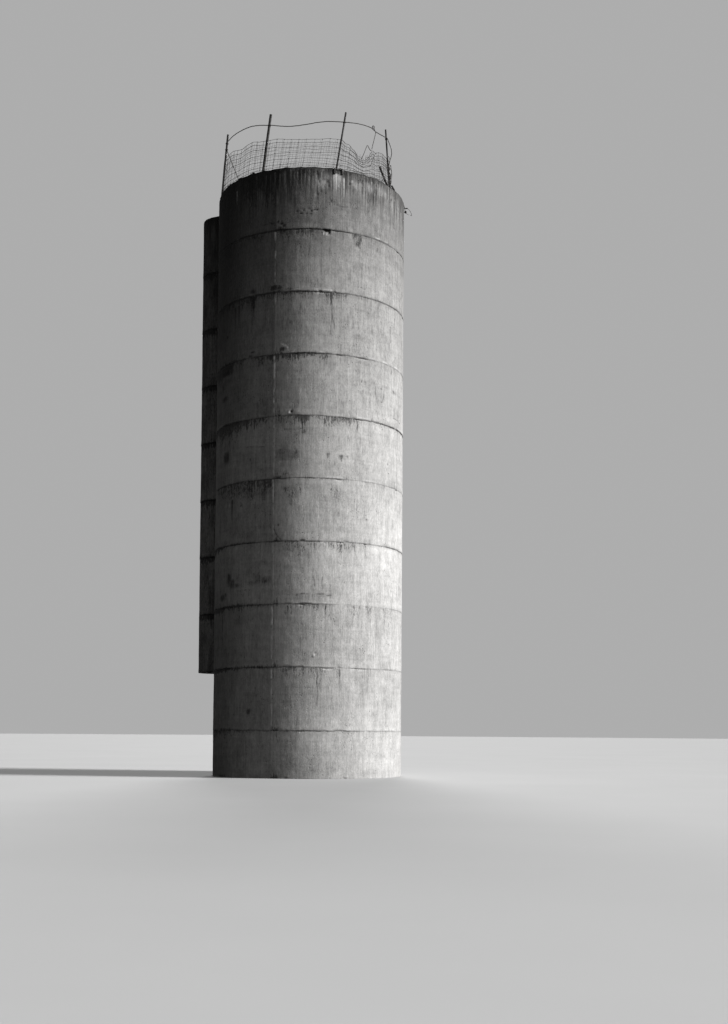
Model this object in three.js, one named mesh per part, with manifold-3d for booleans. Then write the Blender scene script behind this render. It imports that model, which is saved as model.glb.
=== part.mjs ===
// A concrete tower silo: ten cast rings, a round-fronted chute and the remains of a wire fence on the rim.
// Millimetres, +Z up. The origin is on the silo's axis at ground level. The chute is on the -X side.

import * as THREE from "three";
import * as BufferGeometryUtils from "three/addons/utils/BufferGeometryUtils.js";
import Module from "manifold-3d";

const wasm = await Module();
wasm.setup();

// Units and fits

const INCH = 25.4;
const FOOT = 12 * INCH;
const GAP = 0.3;

// The silo's wall, cast in lifts with a four-foot form

const BORE_RADIUS = 6 * FOOT;
const WALL = 4 * INCH;
const OUTER_RADIUS = BORE_RADIUS + WALL;
const LIFT = 4 * FOOT;
const LIFTS = 10;
const FIRST_LIFT = 3 * FOOT;
const RIM = FIRST_LIFT + (LIFTS - 1) * LIFT;
const WALL_STEPS = 72;
const FLOOR_THICKNESS = 6 * INCH;

// The chute, an upright half round with short straight sides

const CHUTE_RADIUS = 18 * INCH;
const CHUTE_WALL = 3 * INCH;
const CHUTE_CENTRE = OUTER_RADIUS + 9 * INCH;
const CHUTE_STEPS = 28;
const CHUTE_FIRST_LIFT = 3;

// The unloading doorways in the wall behind the chute

const DOORWAY_WIDTH = 2 * FOOT;
const DOORWAY_HEIGHT = 3 * FOOT;
const DOORWAY_SILL = 4 * INCH;
const DOORWAY_LIFTS = [2, 4, 6, 8, 10];

// The fence's posts: the place round the rim in degrees from the front, the radius, the standing height,
// and how far the head leans along the rim and out from it

const POST_CIRCLE = BORE_RADIUS + WALL / 2;
const POST_DEPTH = 6 * INCH;
const POST_SIDES = 10;
const POSTS = {
  fence_post_1: { at: -51, radius: 20, height: 1254, along: 230, out: -82 },
  fence_post_2: { at: -1.5, radius: 20, height: 1135, along: 171, out: 0 },
  fence_post_3: { at: 43.9, radius: 15, height: 1180, along: 191, out: 0 },
  fence_post_4: { at: 86, radius: 15, height: 1185, along: -80, out: -57 },
  fence_post_5: { at: 179.5, radius: 17, height: 1110, along: 70, out: -30 },
  fence_post_6: { at: 227.5, radius: 17, height: 1100, along: -60, out: -40 },
};

// The broken post that leans beside the fourth one, a little inside the others' circle

const BROKEN_POST = { at: 84.8, radius: 16, height: 366, along: -242, out: -60, inset: 14 };
const BROKEN_POST_DEPTH = 15;

// The bar that has fallen on the rim, by the places of its two ends, the first one propped up

const BAR_RADIUS = 14;
const BAR_SIDES = 12;
const BAR_FROM = { at: 86.2, radius: 1924, over: 38 };
const BAR_TO = { at: 91.6, radius: 1893, over: 13.8 };

// The round wires. A route's point is degrees from the front, height over the rim and distance outside the
// posts' circle; a post's name in its place is the tie at that post, with the height of the tie

const WIRE_SIDES = 6;
const TIE_BITE = 1.5;
const HOOP_RADIUS = 6;
const HOOP_STEPS = 64;
const BACK_HOOP_STEPS = 16;
const FRONT_HOOP = [
  ["fence_post_1", 1079],
  [-33.1, 980, 20],
  [-28.5, 995, 20],
  [-22.5, 1002, 20],
  [-13.3, 1002, 20],
  [-6.9, 983, 21],
  ["fence_post_2", 918],
  [10.4, 866, 20],
  [15.4, 842, 18],
  [23.2, 854, 16],
  [31.5, 905, 16],
  [38.9, 944, 20],
  ["fence_post_3", 973],
  [54.9, 1000, 20],
  [61.2, 1016, 20],
  [67.5, 1012, 20],
  [71.3, 970, 20],
  [79.2, 962, 20],
  ["fence_post_4", 999],
  [85.1, 822, 34],
  [86.2, 729, 36],
  [85.9, 642, 34],
  [84.7, 539, 26],
  [83.2, 361, 26],
  [83.4, 300, 26],
];
const BACK_HOOP = [
  ["fence_post_5", 960],
  [191, 905, 14],
  [203, 870, 12],
  [214, 880, 14],
  ["fence_post_6", 930],
];

// The straight brace from the first post down to the rim, and the wire that hangs over the rim's edge

const BRACE_RADIUS = 4;
const BRACE_TIE = 962;
const BRACE_FOOT = { at: -21.5, inset: 6 };
const LOOSE_WIRE_RADIUS = 4;
const LOOSE_WIRE_STEPS = 24;
const LOOSE_WIRE = [
  [92.8, 4, 12],
  [98.4, 4, 22],
  [105, 4, 33],
  [111, 4, 42],
  [115.5, 4, 55],
  [118, 0, 66],
  [119.6, -32, 78],
  [120.2, -66, 96],
  [121.2, -98, 150],
  [122, -104, 228],
];
const WIRE_STUB = [
  [118, 0, 58],
  [118.8, 2, 84],
  [118.7, 3, 130],
];
const WIRE_STUB_RADIUS = 11;
const WIRE_STUB_STEPS = 4;

// The woven fence: its line wires' heights over the rim, the spacing of its uprights, and for each panel
// the crest, as pairs of a share of the length and a share of those heights

const MESH_WIRE = 8;
const LINE_WIRES = [45, 105, 205, 325, 435, 525, 590];
const UPRIGHT_SPACING = 6 * INCH;
const LOOSE_END = 25;
const PANELS = {
  fence_panel_1: {
    from: "fence_post_1",
    to: "fence_post_2",
    crest: [
      [0, 1.3], [0.2, 1.2], [0.38, 1.18], [0.51, 1.08], [0.6, 1.04], [0.7, 1.11], [0.8, 1.14], [0.9, 1.065],
      [1, 1.03],
    ],
  },
  fence_panel_2: {
    from: "fence_post_2",
    to: "fence_post_3",
    crest: [[0, 1.03], [0.16, 1.03], [0.3, 0.98], [0.48, 0.965], [0.72, 0.97], [0.83, 1.02], [1, 1.045]],
  },
  fence_panel_3: {
    from: "fence_post_3",
    to: "fence_post_4",
    crest: [
      [0, 1.05], [0.08, 0.93], [0.14, 0.93], [0.18, 0.84], [0.25, 0.75], [0.33, 0.52], [0.42, 0.5], [0.5, 0.66],
      [0.58, 0.97], [0.66, 0.91], [0.72, 1], [0.81, 1.03], [0.87, 1], [1, 0.93],
    ],
  },
  fence_panel_4: { from: "fence_post_5", to: "fence_post_6", crest: [[0, 1], [0.5, 0.94], [1, 0.98]] },
};

// Placing things round the rim

function roundAt(degrees, radius, height) {
  const turn = THREE.MathUtils.degToRad(degrees);
  return new THREE.Vector3(radius * Math.sin(turn), -radius * Math.cos(turn), height);
}

function outward(degrees) {
  return roundAt(degrees, 1, 0);
}

function alongRim(degrees) {
  return roundAt(degrees + 90, 1, 0);
}

// Turning a geometry into a solid and back, to cut one shape from another

function solidOf(geometry) {
  const bare = geometry.clone();
  bare.deleteAttribute("normal");
  bare.deleteAttribute("uv");
  const merged = BufferGeometryUtils.mergeVertices(bare, 1e-3);
  const mesh = new wasm.Mesh({
    numProp: 3,
    vertProperties: new Float32Array(merged.attributes.position.array),
    triVerts: new Uint32Array(merged.index.array),
  });
  return new wasm.Manifold(mesh);
}

function geometryOf(solid) {
  const mesh = solid.getMesh();
  const geometry = new THREE.BufferGeometry();
  geometry.setAttribute("position", new THREE.BufferAttribute(new Float32Array(mesh.vertProperties), 3));
  geometry.setIndex(new THREE.BufferAttribute(new Uint32Array(mesh.triVerts), 1));
  return geometry;
}

function cut(geometry, tools) {
  let solid = solidOf(geometry);
  for (const tool of tools) {
    solid = solid.subtract(solidOf(tool));
  }
  return geometryOf(solid);
}

function joined(geometries) {
  let solid = solidOf(geometries[0]);
  for (const geometry of geometries.slice(1)) {
    solid = solid.add(solidOf(geometry));
  }
  return geometryOf(solid);
}

// Materials

const CONCRETE = { color: 0x8d8a84, roughness: 0.95, metalness: 0 };
const OLD_STEEL = { color: 0x4a423c, roughness: 0.8, metalness: 0.6 };
const WIRE_STEEL = { color: 0x5a554f, roughness: 0.7, metalness: 0.7 };

const silo = new THREE.Group();

function addPiece(name, geometry, look) {
  const mesh = new THREE.Mesh(geometry, new THREE.MeshStandardMaterial(look));
  mesh.name = name;
  silo.add(mesh);
  return mesh;
}

function twoDigits(number) {
  return String(number).padStart(2, "0");
}

// The foot and the height of one lift; the first is cut short by the ground

function liftFoot(lift) {
  return lift === 1 ? 0 : FIRST_LIFT + (lift - 2) * LIFT;
}

function liftHeight(lift) {
  return (lift === 1 ? FIRST_LIFT : LIFT) - GAP;
}

// One cast ring, whose corners lie on the two wall radii

function ring(height) {
  const profile = [
    new THREE.Vector2(BORE_RADIUS, 0),
    new THREE.Vector2(OUTER_RADIUS, 0),
    new THREE.Vector2(OUTER_RADIUS, height),
    new THREE.Vector2(BORE_RADIUS, height),
    new THREE.Vector2(BORE_RADIUS, 0),
  ];
  const geometry = new THREE.LatheGeometry(profile, WALL_STEPS);
  geometry.rotateX(Math.PI / 2);
  return geometry;
}

// An unloading doorway's block, above its sill in the lift and running well past both faces of the wall

function doorwayBlock() {
  const block = new THREE.BoxGeometry(4 * WALL, DOORWAY_WIDTH, DOORWAY_HEIGHT);
  block.translate(-POST_CIRCLE, 0, DOORWAY_SILL + DOORWAY_HEIGHT / 2);
  return block;
}

// A round bar from one point to another, both in the silo's own frame

function bar(from, to, radius, sides) {
  const way = new THREE.Vector3().subVectors(to, from);
  const geometry = new THREE.CylinderGeometry(radius, radius, way.length(), sides);
  const turn = new THREE.Quaternion().setFromUnitVectors(new THREE.Vector3(0, 1, 0), way.clone().normalize());
  geometry.applyQuaternion(turn);
  const middle = new THREE.Vector3().addVectors(from, to).multiplyScalar(0.5);
  geometry.translate(middle.x, middle.y, middle.z);
  return geometry;
}

// The point on a post's line at a given height over the rim

function postPoint(post, over) {
  const share = over / post.height;
  const point = roundAt(post.at, POST_CIRCLE - (post.inset ?? 0), RIM + over);
  point.addScaledVector(alongRim(post.at), post.along * share);
  point.addScaledVector(outward(post.at), post.out * share);
  return point;
}

function postBar(post, depth, radius) {
  return bar(postPoint(post, -depth), postPoint(post, post.height), radius, POST_SIDES);
}

// A post as the hole that it needs, with clearance all round

function postRoom(post, depth) {
  return postBar(post, depth + GAP, post.radius + GAP);
}

// The wall's rings, with the doorways cut and the posts' sockets in the top one

for (let lift = 1; lift <= LIFTS; lift += 1) {
  const tools = [];
  if (DOORWAY_LIFTS.includes(lift)) {
    tools.push(doorwayBlock());
  }
  if (lift === LIFTS) {
    const down = -liftFoot(lift);
    for (const post of Object.values(POSTS)) {
      tools.push(postRoom(post, POST_DEPTH).translate(0, 0, down));
    }
    tools.push(postRoom(BROKEN_POST, BROKEN_POST_DEPTH).translate(0, 0, down));
  }
  const shape = tools.length > 0 ? cut(ring(liftHeight(lift)), tools) : ring(liftHeight(lift));
  const piece = addPiece(`lift_${twoDigits(lift)}`, shape, CONCRETE);
  piece.position.z = liftFoot(lift);
}

// The floor inside the first ring

const floor = new THREE.CylinderGeometry(BORE_RADIUS - GAP, BORE_RADIUS - GAP, FLOOR_THICKNESS, WALL_STEPS);
floor.rotateX(Math.PI / 2);
const floorPiece = addPiece("floor_slab", floor, CONCRETE);
floorPiece.position.z = FLOOR_THICKNESS / 2;

// The chute's plan: out along one side, round the front, and back inside it. Its ends lie along the one
// flat of the wall that both of them meet

function chuteEnd(y) {
  const step = 360 / WALL_STEPS;
  const flat = Math.floor(THREE.MathUtils.radToDeg(Math.asin(CHUTE_RADIUS / OUTER_RADIUS)) / step);
  const turn = THREE.MathUtils.degToRad((flat + 0.5) * step);
  const reach = OUTER_RADIUS * Math.cos(THREE.MathUtils.degToRad(step / 2)) + GAP;
  return -(reach - y * Math.sin(turn)) / Math.cos(turn);
}

function halfRound(radius, backwards) {
  const points = [];
  for (let step = 0; step <= CHUTE_STEPS; step += 1) {
    const share = backwards ? 1 - step / CHUTE_STEPS : step / CHUTE_STEPS;
    const turn = Math.PI * (0.5 + share);
    points.push(new THREE.Vector2(-CHUTE_CENTRE + radius * Math.cos(turn), radius * Math.sin(turn)));
  }
  return points;
}

function chutePlan() {
  const outside = CHUTE_RADIUS;
  const inside = CHUTE_RADIUS - CHUTE_WALL;
  return new THREE.Shape([
    new THREE.Vector2(chuteEnd(outside), outside),
    ...halfRound(outside, false),
    new THREE.Vector2(chuteEnd(outside), -outside),
    new THREE.Vector2(chuteEnd(inside), -inside),
    ...halfRound(inside, true),
    new THREE.Vector2(chuteEnd(inside), inside),
  ]);
}

for (let lift = CHUTE_FIRST_LIFT; lift <= LIFTS; lift += 1) {
  const shape = new THREE.ExtrudeGeometry(chutePlan(), { depth: liftHeight(lift), bevelEnabled: false });
  const piece = addPiece(`chute_lift_${twoDigits(lift)}`, shape, CONCRETE);
  piece.position.z = liftFoot(lift);
}

// The fence's posts and the two broken ones

for (const [name, post] of Object.entries(POSTS)) {
  addPiece(name, postBar(post, POST_DEPTH, post.radius), OLD_STEEL);
}
addPiece("broken_post", postBar(BROKEN_POST, BROKEN_POST_DEPTH, BROKEN_POST.radius), OLD_STEEL);

const fallenBar = bar(
  roundAt(BAR_FROM.at, BAR_FROM.radius, RIM + BAR_FROM.over),
  roundAt(BAR_TO.at, BAR_TO.radius, RIM + BAR_TO.over),
  BAR_RADIUS,
  BAR_SIDES,
);
addPiece("fallen_bar", fallenBar, OLD_STEEL);

// A wire's route round the rim, and the wire drawn along it

function routePoint(entry, radius) {
  if (typeof entry[0] === "string") {
    const post = POSTS[entry[0]];
    return postPoint(post, entry[1]).addScaledVector(outward(post.at), post.radius + radius - TIE_BITE);
  }
  return roundAt(entry[0], POST_CIRCLE + entry[2], RIM + entry[1]);
}

function wireSection(radius) {
  const points = [];
  for (let side = 0; side < WIRE_SIDES; side += 1) {
    const turn = (2 * Math.PI * side) / WIRE_SIDES;
    points.push(new THREE.Vector2(radius * Math.cos(turn), radius * Math.sin(turn)));
  }
  return new THREE.Shape(points);
}

function wire(route, radius, steps) {
  const path = new THREE.CatmullRomCurve3(route.map((entry) => routePoint(entry, radius)), false, "centripetal");
  return new THREE.ExtrudeGeometry(wireSection(radius), { steps, extrudePath: path });
}

function tiedPosts(route) {
  return route.filter((entry) => typeof entry[0] === "string").map((entry) => postRoom(POSTS[entry[0]], 0));
}

addPiece("front_hoop", cut(wire(FRONT_HOOP, HOOP_RADIUS, HOOP_STEPS), tiedPosts(FRONT_HOOP)), WIRE_STEEL);
addPiece("back_hoop", cut(wire(BACK_HOOP, HOOP_RADIUS, BACK_HOOP_STEPS), tiedPosts(BACK_HOOP)), WIRE_STEEL);
const looseWire = wire(LOOSE_WIRE, LOOSE_WIRE_RADIUS, LOOSE_WIRE_STEPS);
const wireStub = wire(WIRE_STUB, WIRE_STUB_RADIUS, WIRE_STUB_STEPS);
addPiece("loose_wire", joined([looseWire, wireStub]), WIRE_STEEL);

const firstPost = POSTS.fence_post_1;
const braceWire = bar(
  postPoint(firstPost, BRACE_TIE),
  roundAt(BRACE_FOOT.at, POST_CIRCLE - BRACE_FOOT.inset, RIM + BRACE_RADIUS),
  BRACE_RADIUS,
  WIRE_SIDES,
);
addPiece("brace_wire", cut(braceWire, [postRoom(firstPost, 0)]), WIRE_STEEL);

// A bent lattice. Its edges along the length and up the height bound bars and gaps in turn: the length
// starts with a gap, the height with a bar. place turns a share of the length, a height and a side into
// a point, and side 1 faces outwards

function lattice(lengths, heights, place) {
  const across = lengths.length - 1;
  const up = heights.length - 1;
  const positions = [];
  const triangles = [];
  const corner = (i, j, side) => (i * (up + 1) + j) * 2 + side;
  const filled = (i, j) => i >= 0 && j >= 0 && i < across && j < up && (i % 2 === 1 || j % 2 === 0);
  const quad = (a, b, c, d) => triangles.push(a, b, c, a, c, d);
  for (let i = 0; i <= across; i += 1) {
    for (let j = 0; j <= up; j += 1) {
      for (const side of [0, 1]) {
        positions.push(...place(lengths[i], heights[j], side).toArray());
      }
    }
  }
  for (let i = 0; i < across; i += 1) {
    for (let j = 0; j < up; j += 1) {
      if (!filled(i, j)) {
        continue;
      }
      quad(corner(i, j, 1), corner(i + 1, j, 1), corner(i + 1, j + 1, 1), corner(i, j + 1, 1));
      quad(corner(i, j, 0), corner(i, j + 1, 0), corner(i + 1, j + 1, 0), corner(i + 1, j, 0));
      if (!filled(i, j - 1)) {
        quad(corner(i, j, 0), corner(i + 1, j, 0), corner(i + 1, j, 1), corner(i, j, 1));
      }
      if (!filled(i, j + 1)) {
        quad(corner(i, j + 1, 1), corner(i + 1, j + 1, 1), corner(i + 1, j + 1, 0), corner(i, j + 1, 0));
      }
      if (!filled(i - 1, j)) {
        quad(corner(i, j, 0), corner(i, j, 1), corner(i, j + 1, 1), corner(i, j + 1, 0));
      }
      if (!filled(i + 1, j)) {
        quad(corner(i + 1, j, 1), corner(i + 1, j, 0), corner(i + 1, j + 1, 0), corner(i + 1, j + 1, 1));
      }
    }
  }
  const geometry = new THREE.BufferGeometry();
  geometry.setAttribute("position", new THREE.BufferAttribute(new Float32Array(positions), 3));
  geometry.setIndex(triangles);
  return geometry;
}

function crestAt(crest, share) {
  const next = crest.findIndex((entry) => entry[0] >= share);
  if (next <= 0) {
    return next === 0 ? crest[0][1] : crest[crest.length - 1][1];
  }
  const [before, low] = crest[next - 1];
  const [after, high] = crest[next];
  return low + ((high - low) * (share - before)) / (after - before);
}

// A post's place round the rim at a height, as degrees near its foot's and a radius

function postPlace(post, over) {
  const point = postPoint(post, over);
  const turn = THREE.MathUtils.radToDeg(Math.atan2(point.x, -point.y));
  const turns = Math.round((post.at - turn) / 360);
  return { at: turn + 360 * turns, radius: Math.hypot(point.x, point.y) };
}

function panel(name) {
  const { from, to, crest } = PANELS[name];
  const first = POSTS[from];
  const last = POSTS[to];
  const length = THREE.MathUtils.degToRad(last.at - first.at) * POST_CIRCLE;
  const uprights = Math.round(length / UPRIGHT_SPACING);
  const sharesPost = (post) => Object.entries(PANELS).some(
    ([other, ends]) => other !== name && (ends.from === post || ends.to === post),
  );
  const lengths = [(sharesPost(from) ? GAP : -LOOSE_END) / length];
  for (let upright = 0; upright < uprights; upright += 1) {
    const middle = (upright + 0.5) / uprights;
    lengths.push(middle - MESH_WIRE / 2 / length, middle + MESH_WIRE / 2 / length);
  }
  lengths.push(1 - (sharesPost(to) ? GAP : -LOOSE_END) / length);
  const heights = [];
  for (const height of LINE_WIRES) {
    heights.push(height - MESH_WIRE / 2, height + MESH_WIRE / 2);
  }
  const place = (share, height, side) => {
    const over = height * crestAt(crest, share);
    const start = postPlace(first, over);
    const end = postPlace(last, over);
    const at = THREE.MathUtils.lerp(start.at, end.at, share);
    const radius = THREE.MathUtils.lerp(start.radius + first.radius, end.radius + last.radius, share);
    return roundAt(at, radius - TIE_BITE + side * MESH_WIRE, RIM + over);
  };
  return cut(lattice(lengths, heights, place), [postRoom(first, 0), postRoom(last, 0)]);
}

for (const name of Object.keys(PANELS)) {
  addPiece(name, panel(name), WIRE_STEEL);
}

export default silo;
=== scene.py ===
import math

import bpy
import bmesh
import numpy as np
from mathutils import Matrix, Vector


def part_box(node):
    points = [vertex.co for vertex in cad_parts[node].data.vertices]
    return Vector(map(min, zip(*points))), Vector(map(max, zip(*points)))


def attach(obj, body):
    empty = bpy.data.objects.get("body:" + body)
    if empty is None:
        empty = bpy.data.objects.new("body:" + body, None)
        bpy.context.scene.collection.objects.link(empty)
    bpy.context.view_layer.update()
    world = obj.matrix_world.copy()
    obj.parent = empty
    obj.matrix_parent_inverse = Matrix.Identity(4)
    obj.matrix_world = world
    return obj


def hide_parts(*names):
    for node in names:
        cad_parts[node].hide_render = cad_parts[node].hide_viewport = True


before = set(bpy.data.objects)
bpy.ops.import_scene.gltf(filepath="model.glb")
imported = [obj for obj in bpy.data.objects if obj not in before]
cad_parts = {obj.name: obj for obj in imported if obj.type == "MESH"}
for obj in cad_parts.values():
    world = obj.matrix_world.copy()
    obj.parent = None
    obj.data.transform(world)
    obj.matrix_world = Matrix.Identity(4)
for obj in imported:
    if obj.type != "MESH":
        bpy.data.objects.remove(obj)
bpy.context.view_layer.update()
BODY = "root"

# Sizes, in metres, read from the CAD parts where they have them

INCH = 0.0254
JOINT_GAP = 0.0003
RIM = round(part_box("lift_10")[1].z + JOINT_GAP, 4)
LIFT = round(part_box("lift_05")[0].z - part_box("lift_04")[0].z, 4)
LIFTS = 10
FIRST_LIFT = round(RIM - (LIFTS - 1) * LIFT, 4)
OUTER = round(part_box("lift_05")[1].x, 4)
WALL = 4 * INCH
BORE = OUTER - WALL
POST_CIRCLE = BORE + WALL / 2
FLOOR_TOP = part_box("floor_slab")[1].z
CHUTE_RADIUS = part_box("chute_lift_05")[1].y
CHUTE_WALL = 3 * INCH
CHUTE_CENTRE = -(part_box("chute_lift_05")[0].x + CHUTE_RADIUS)
CHUTE_LIFTS = range(3, LIFTS + 1)
DOORWAY_LIFTS = (2, 4, 6, 8, 10)
DOORWAY_HALF = 12 * INCH
DOORWAY_SILL = 4 * INCH
DOORWAY_HEAD = 40 * INCH
CHUTE_SIDE = -90.0

# The photo's side of the silo: degrees round the axis, counted from -Y towards +X

PHOTO_SIDE = 29.5


def lift_foot(lift):
    return 0.0 if lift == 1 else FIRST_LIFT + (lift - 2) * LIFT


def lift_head(lift):
    return FIRST_LIFT + (lift - 1) * LIFT


def round_at(degrees, radius, height):
    turn = math.radians(degrees)
    return Vector((radius * math.sin(turn), -radius * math.cos(turn), height))


def half_turn(degrees):
    """The same angles, counted from -180 to 180."""
    return np.mod(degrees + 180.0, 360.0) - 180.0


# The camera, at the photo's place: a view camera with its front raised

EYE_DISTANCE = 26.95
EYE_HEIGHT = 0.959
EYE_YAW = 2.291
EYE_PITCH = 2.326
EYE_ROLL = 0.412
SENSOR = 36.0
PICTURE_WIDE = 728
PICTURE_TALL = 1024
FOCAL_PIXELS = 1305.0
CENTRE_PIXEL = (359.92, 676.13)
FARTHEST_SEEN = 500.0


def make_camera():
    data = bpy.data.cameras.new("photo_camera")
    camera = bpy.data.objects.new("photo_camera", data)
    bpy.context.scene.collection.objects.link(camera)
    data.sensor_fit = "AUTO"
    data.sensor_width = SENSOR
    data.lens = FOCAL_PIXELS * SENSOR / PICTURE_TALL
    data.shift_x = (PICTURE_WIDE / 2 - CENTRE_PIXEL[0]) / PICTURE_TALL
    data.shift_y = (CENTRE_PIXEL[1] - PICTURE_TALL / 2) / PICTURE_TALL
    data.clip_end = FARTHEST_SEEN
    turn = Matrix.Rotation(math.radians(PHOTO_SIDE - EYE_YAW), 4, "Z")
    tip = Matrix.Rotation(math.radians(90 + EYE_PITCH), 4, "X")
    roll = Matrix.Rotation(math.radians(EYE_ROLL), 4, "Z")
    place = Matrix.Translation(round_at(PHOTO_SIDE, EYE_DISTANCE, EYE_HEIGHT))
    camera.matrix_world = place @ turn @ tip @ roll
    bpy.context.scene.camera = camera


# Nodes and shader maths


def make_node(tree, kind, inputs, **settings):
    """Makes one node, sets it up first, and then fills its sockets with values or links."""
    node = tree.nodes.new(kind)
    for name, setting in settings.items():
        setattr(node, name, setting)
    for name, given in inputs.items():
        if isinstance(given, bpy.types.NodeSocket):
            tree.links.new(given, node.inputs[name])
        else:
            node.inputs[name].default_value = given
    return node


def operator(operation, turned=False):
    """An operator on values, which adds its Math node. Where it is turned, the other value comes first."""

    def work(value, other):
        first, second = (other, value) if turned else (value, other)
        return value.finish.add("ShaderNodeMath", {0: first, 1: second}, operation=operation)

    return work


class Value:
    """A number or colour that a node puts out, for use in plain expressions."""

    __add__ = operator("ADD")
    __radd__ = operator("ADD", turned=True)
    __sub__ = operator("SUBTRACT")
    __rsub__ = operator("SUBTRACT", turned=True)
    __mul__ = operator("MULTIPLY")
    __rmul__ = operator("MULTIPLY", turned=True)
    __truediv__ = operator("DIVIDE")
    __pow__ = operator("POWER")
    least = operator("MINIMUM")

    def __init__(self, finish, socket):
        self.finish = finish
        self.socket = socket

    def size(self):
        return self.finish.add("ShaderNodeMath", {0: self}, operation="ABSOLUTE")

    def part(self):
        return self.finish.add("ShaderNodeMath", {0: self}, operation="FRACT")

    def ramp(self, low, high, start=0.0, end=1.0):
        """Start below low, end above high, and a smooth change between them."""
        inputs = {"Value": self, "From Min": low, "From Max": high, "To Min": start, "To Max": end}
        return self.finish.add("ShaderNodeMapRange", inputs, interpolation_type="SMOOTHSTEP")


class Finish:
    """A material being put together from nodes."""

    def __init__(self, name):
        self.material = bpy.data.materials.new(name)
        self.material.use_nodes = True
        self.tree = self.material.node_tree
        self.tree.nodes.clear()
        self.place = self.add("ShaderNodeTexCoord", {}, "Object")

    def add(self, kind, inputs, output=0, **settings):
        """One of the outputs of a new node."""
        given = {name: getattr(value, "socket", value) for name, value in inputs.items()}
        node = make_node(self.tree, kind, given, **settings)
        return Value(self, node.outputs[output]) if len(node.outputs) else None

    def stretched(self, across, up, shift):
        """The place on the piece, scaled across and up, and shifted."""
        shifts = (shift, shift * 0.7, shift * 1.3)
        inputs = {"Vector": self.place, "Scale": (across, across, up), "Location": shifts}
        return self.add("ShaderNodeMapping", inputs)

    def noise(self, across, up, shift, detail, rough, bend=0.0):
        inputs = {"Vector": self.stretched(across, up, shift), "Scale": 1.0, "Detail": detail}
        inputs.update({"Roughness": rough, "Distortion": bend})
        return self.add("ShaderNodeTexNoise", inputs, "Fac")

    def cells(self, across, up, shift):
        inputs = {"Vector": self.stretched(across, up, shift), "Scale": 1.0, "Randomness": 1.0}
        return self.add("ShaderNodeTexVoronoi", inputs, "Distance")

    def painted(self, name):
        return self.add("ShaderNodeAttribute", {}, "Fac", attribute_name=name)

    def parts(self):
        """The three parts of the place: x, y and z."""
        parts = self.add("ShaderNodeSeparateXYZ", {0: self.place})
        return [Value(self, socket) for socket in parts.socket.node.outputs]

    def mix(self, share, first, second):
        """From the first colour to the second by share."""
        inputs = {0: share, 6: first, 7: second}
        return self.add("ShaderNodeMix", inputs, 2, data_type="RGBA")

    def bump(self, height, distance, strength):
        return self.add("ShaderNodeBump", {"Height": height, "Distance": distance, "Strength": strength})

    def close(self, **sockets):
        """Ends the material in one surface shader, with sockets named by their words."""
        named = {}
        for words, value in sockets.items():
            named[words.replace("_", " ").title().replace("Ior", "IOR")] = value
        shader = self.add("ShaderNodeBsdfPrincipled", named)
        self.add("ShaderNodeOutputMaterial", {"Surface": shader})
        return self.material


def grey(level, warmth=0.0):
    """A colour of about that lightness, a little warm where warmth is over nought."""
    return (level * (1 + warmth), level, level * (1 - 1.4 * warmth), 1.0)


# Concrete. The noises on it are given as scale across, scale up, shift, detail, roughness and bend

WARM = 0.02
TONE_NOISES = (
    ((0.8, 0.55, 0.0, 3.0, 0.55, 0.4), 0.45),
    ((3.0, 2.0, 4.0, 5.0, 0.62, 0.5), 0.50),
    ((12.0, 7.0, 17.0, 4.0, 0.65, 0.3), 0.48),
    ((40.0, 24.0, 21.0, 3.0, 0.7), 0.62),
    ((15.0, 0.8, 9.0, 4.0, 0.62), 0.38),
    ((42.0, 2.6, 2.0, 3.0, 0.6), 0.42),
    ((1.2, 11.0, 6.0, 3.0, 0.6, 0.3), 0.30),
)
CONCRETE_NOISES = {
    "dash": (66.0, 6.0, 23.0, 2.0, 0.5),
    "crowd": (3.5, 2.2, 27.0, 3.0, 0.6),
    "drift": (2.4, 0.2, 41.0, 3.0, 0.6),
    "worn": (21.0, 21.0, 1.0, 4.0, 0.72),
    "faint": (2.6, 0.4, 31.0, 2.0, 0.5),
    "black": (11.0, 0.7, 12.0, 4.0, 0.72),
    "rain": (27.0, 1.5, 37.0, 4.0, 0.72),
    "crumb": (34.0, 15.0, 8.0, 4.0, 0.75, 0.6),
    "clump": (13.0, 9.0, 14.0, 4.0, 0.70, 1.0),
    "comb": (46.0, 3.0, 18.0, 3.0, 0.65),
    "few": (2.2, 2.2, 7.0, 2.0, 0.5),
    "silage": (1.6, 5.0, 15.0, 4.0, 0.6),
    "coarse": (60.0, 60.0, 3.0, 4.0, 0.65),
    "sand": (210.0, 210.0, 6.0, 2.0, 0.6),
    "scratch": (42.0, 1.6, 2.0, 3.0, 0.6),
}
HOLE_CELLS = (17.0, 17.0, 5.0)
DASH_DARK = 0.30
LINE_DARK = 0.40
LINE_DARK_MORE = 0.32
JOINT_SHADE = 0.22
JOINT_DRIFT = 0.036
SOOT_DARK = 0.50
SOOT_FADE = 0.26
RAIN_STRENGTH = 2.9
STAIN_AND_SHADE_DARK = 0.90
GRIME_DARK = 0.60
HOLE_DARK = 0.45
BLOOM_AND_HIGHLIGHT_COVER = 0.85
DARKEST = 0.03
LIGHTEST = 1.86
BLOOM_AND_HIGHLIGHT_LIGHT = 1.7
BUMP_DEPTH = 0.008


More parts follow.
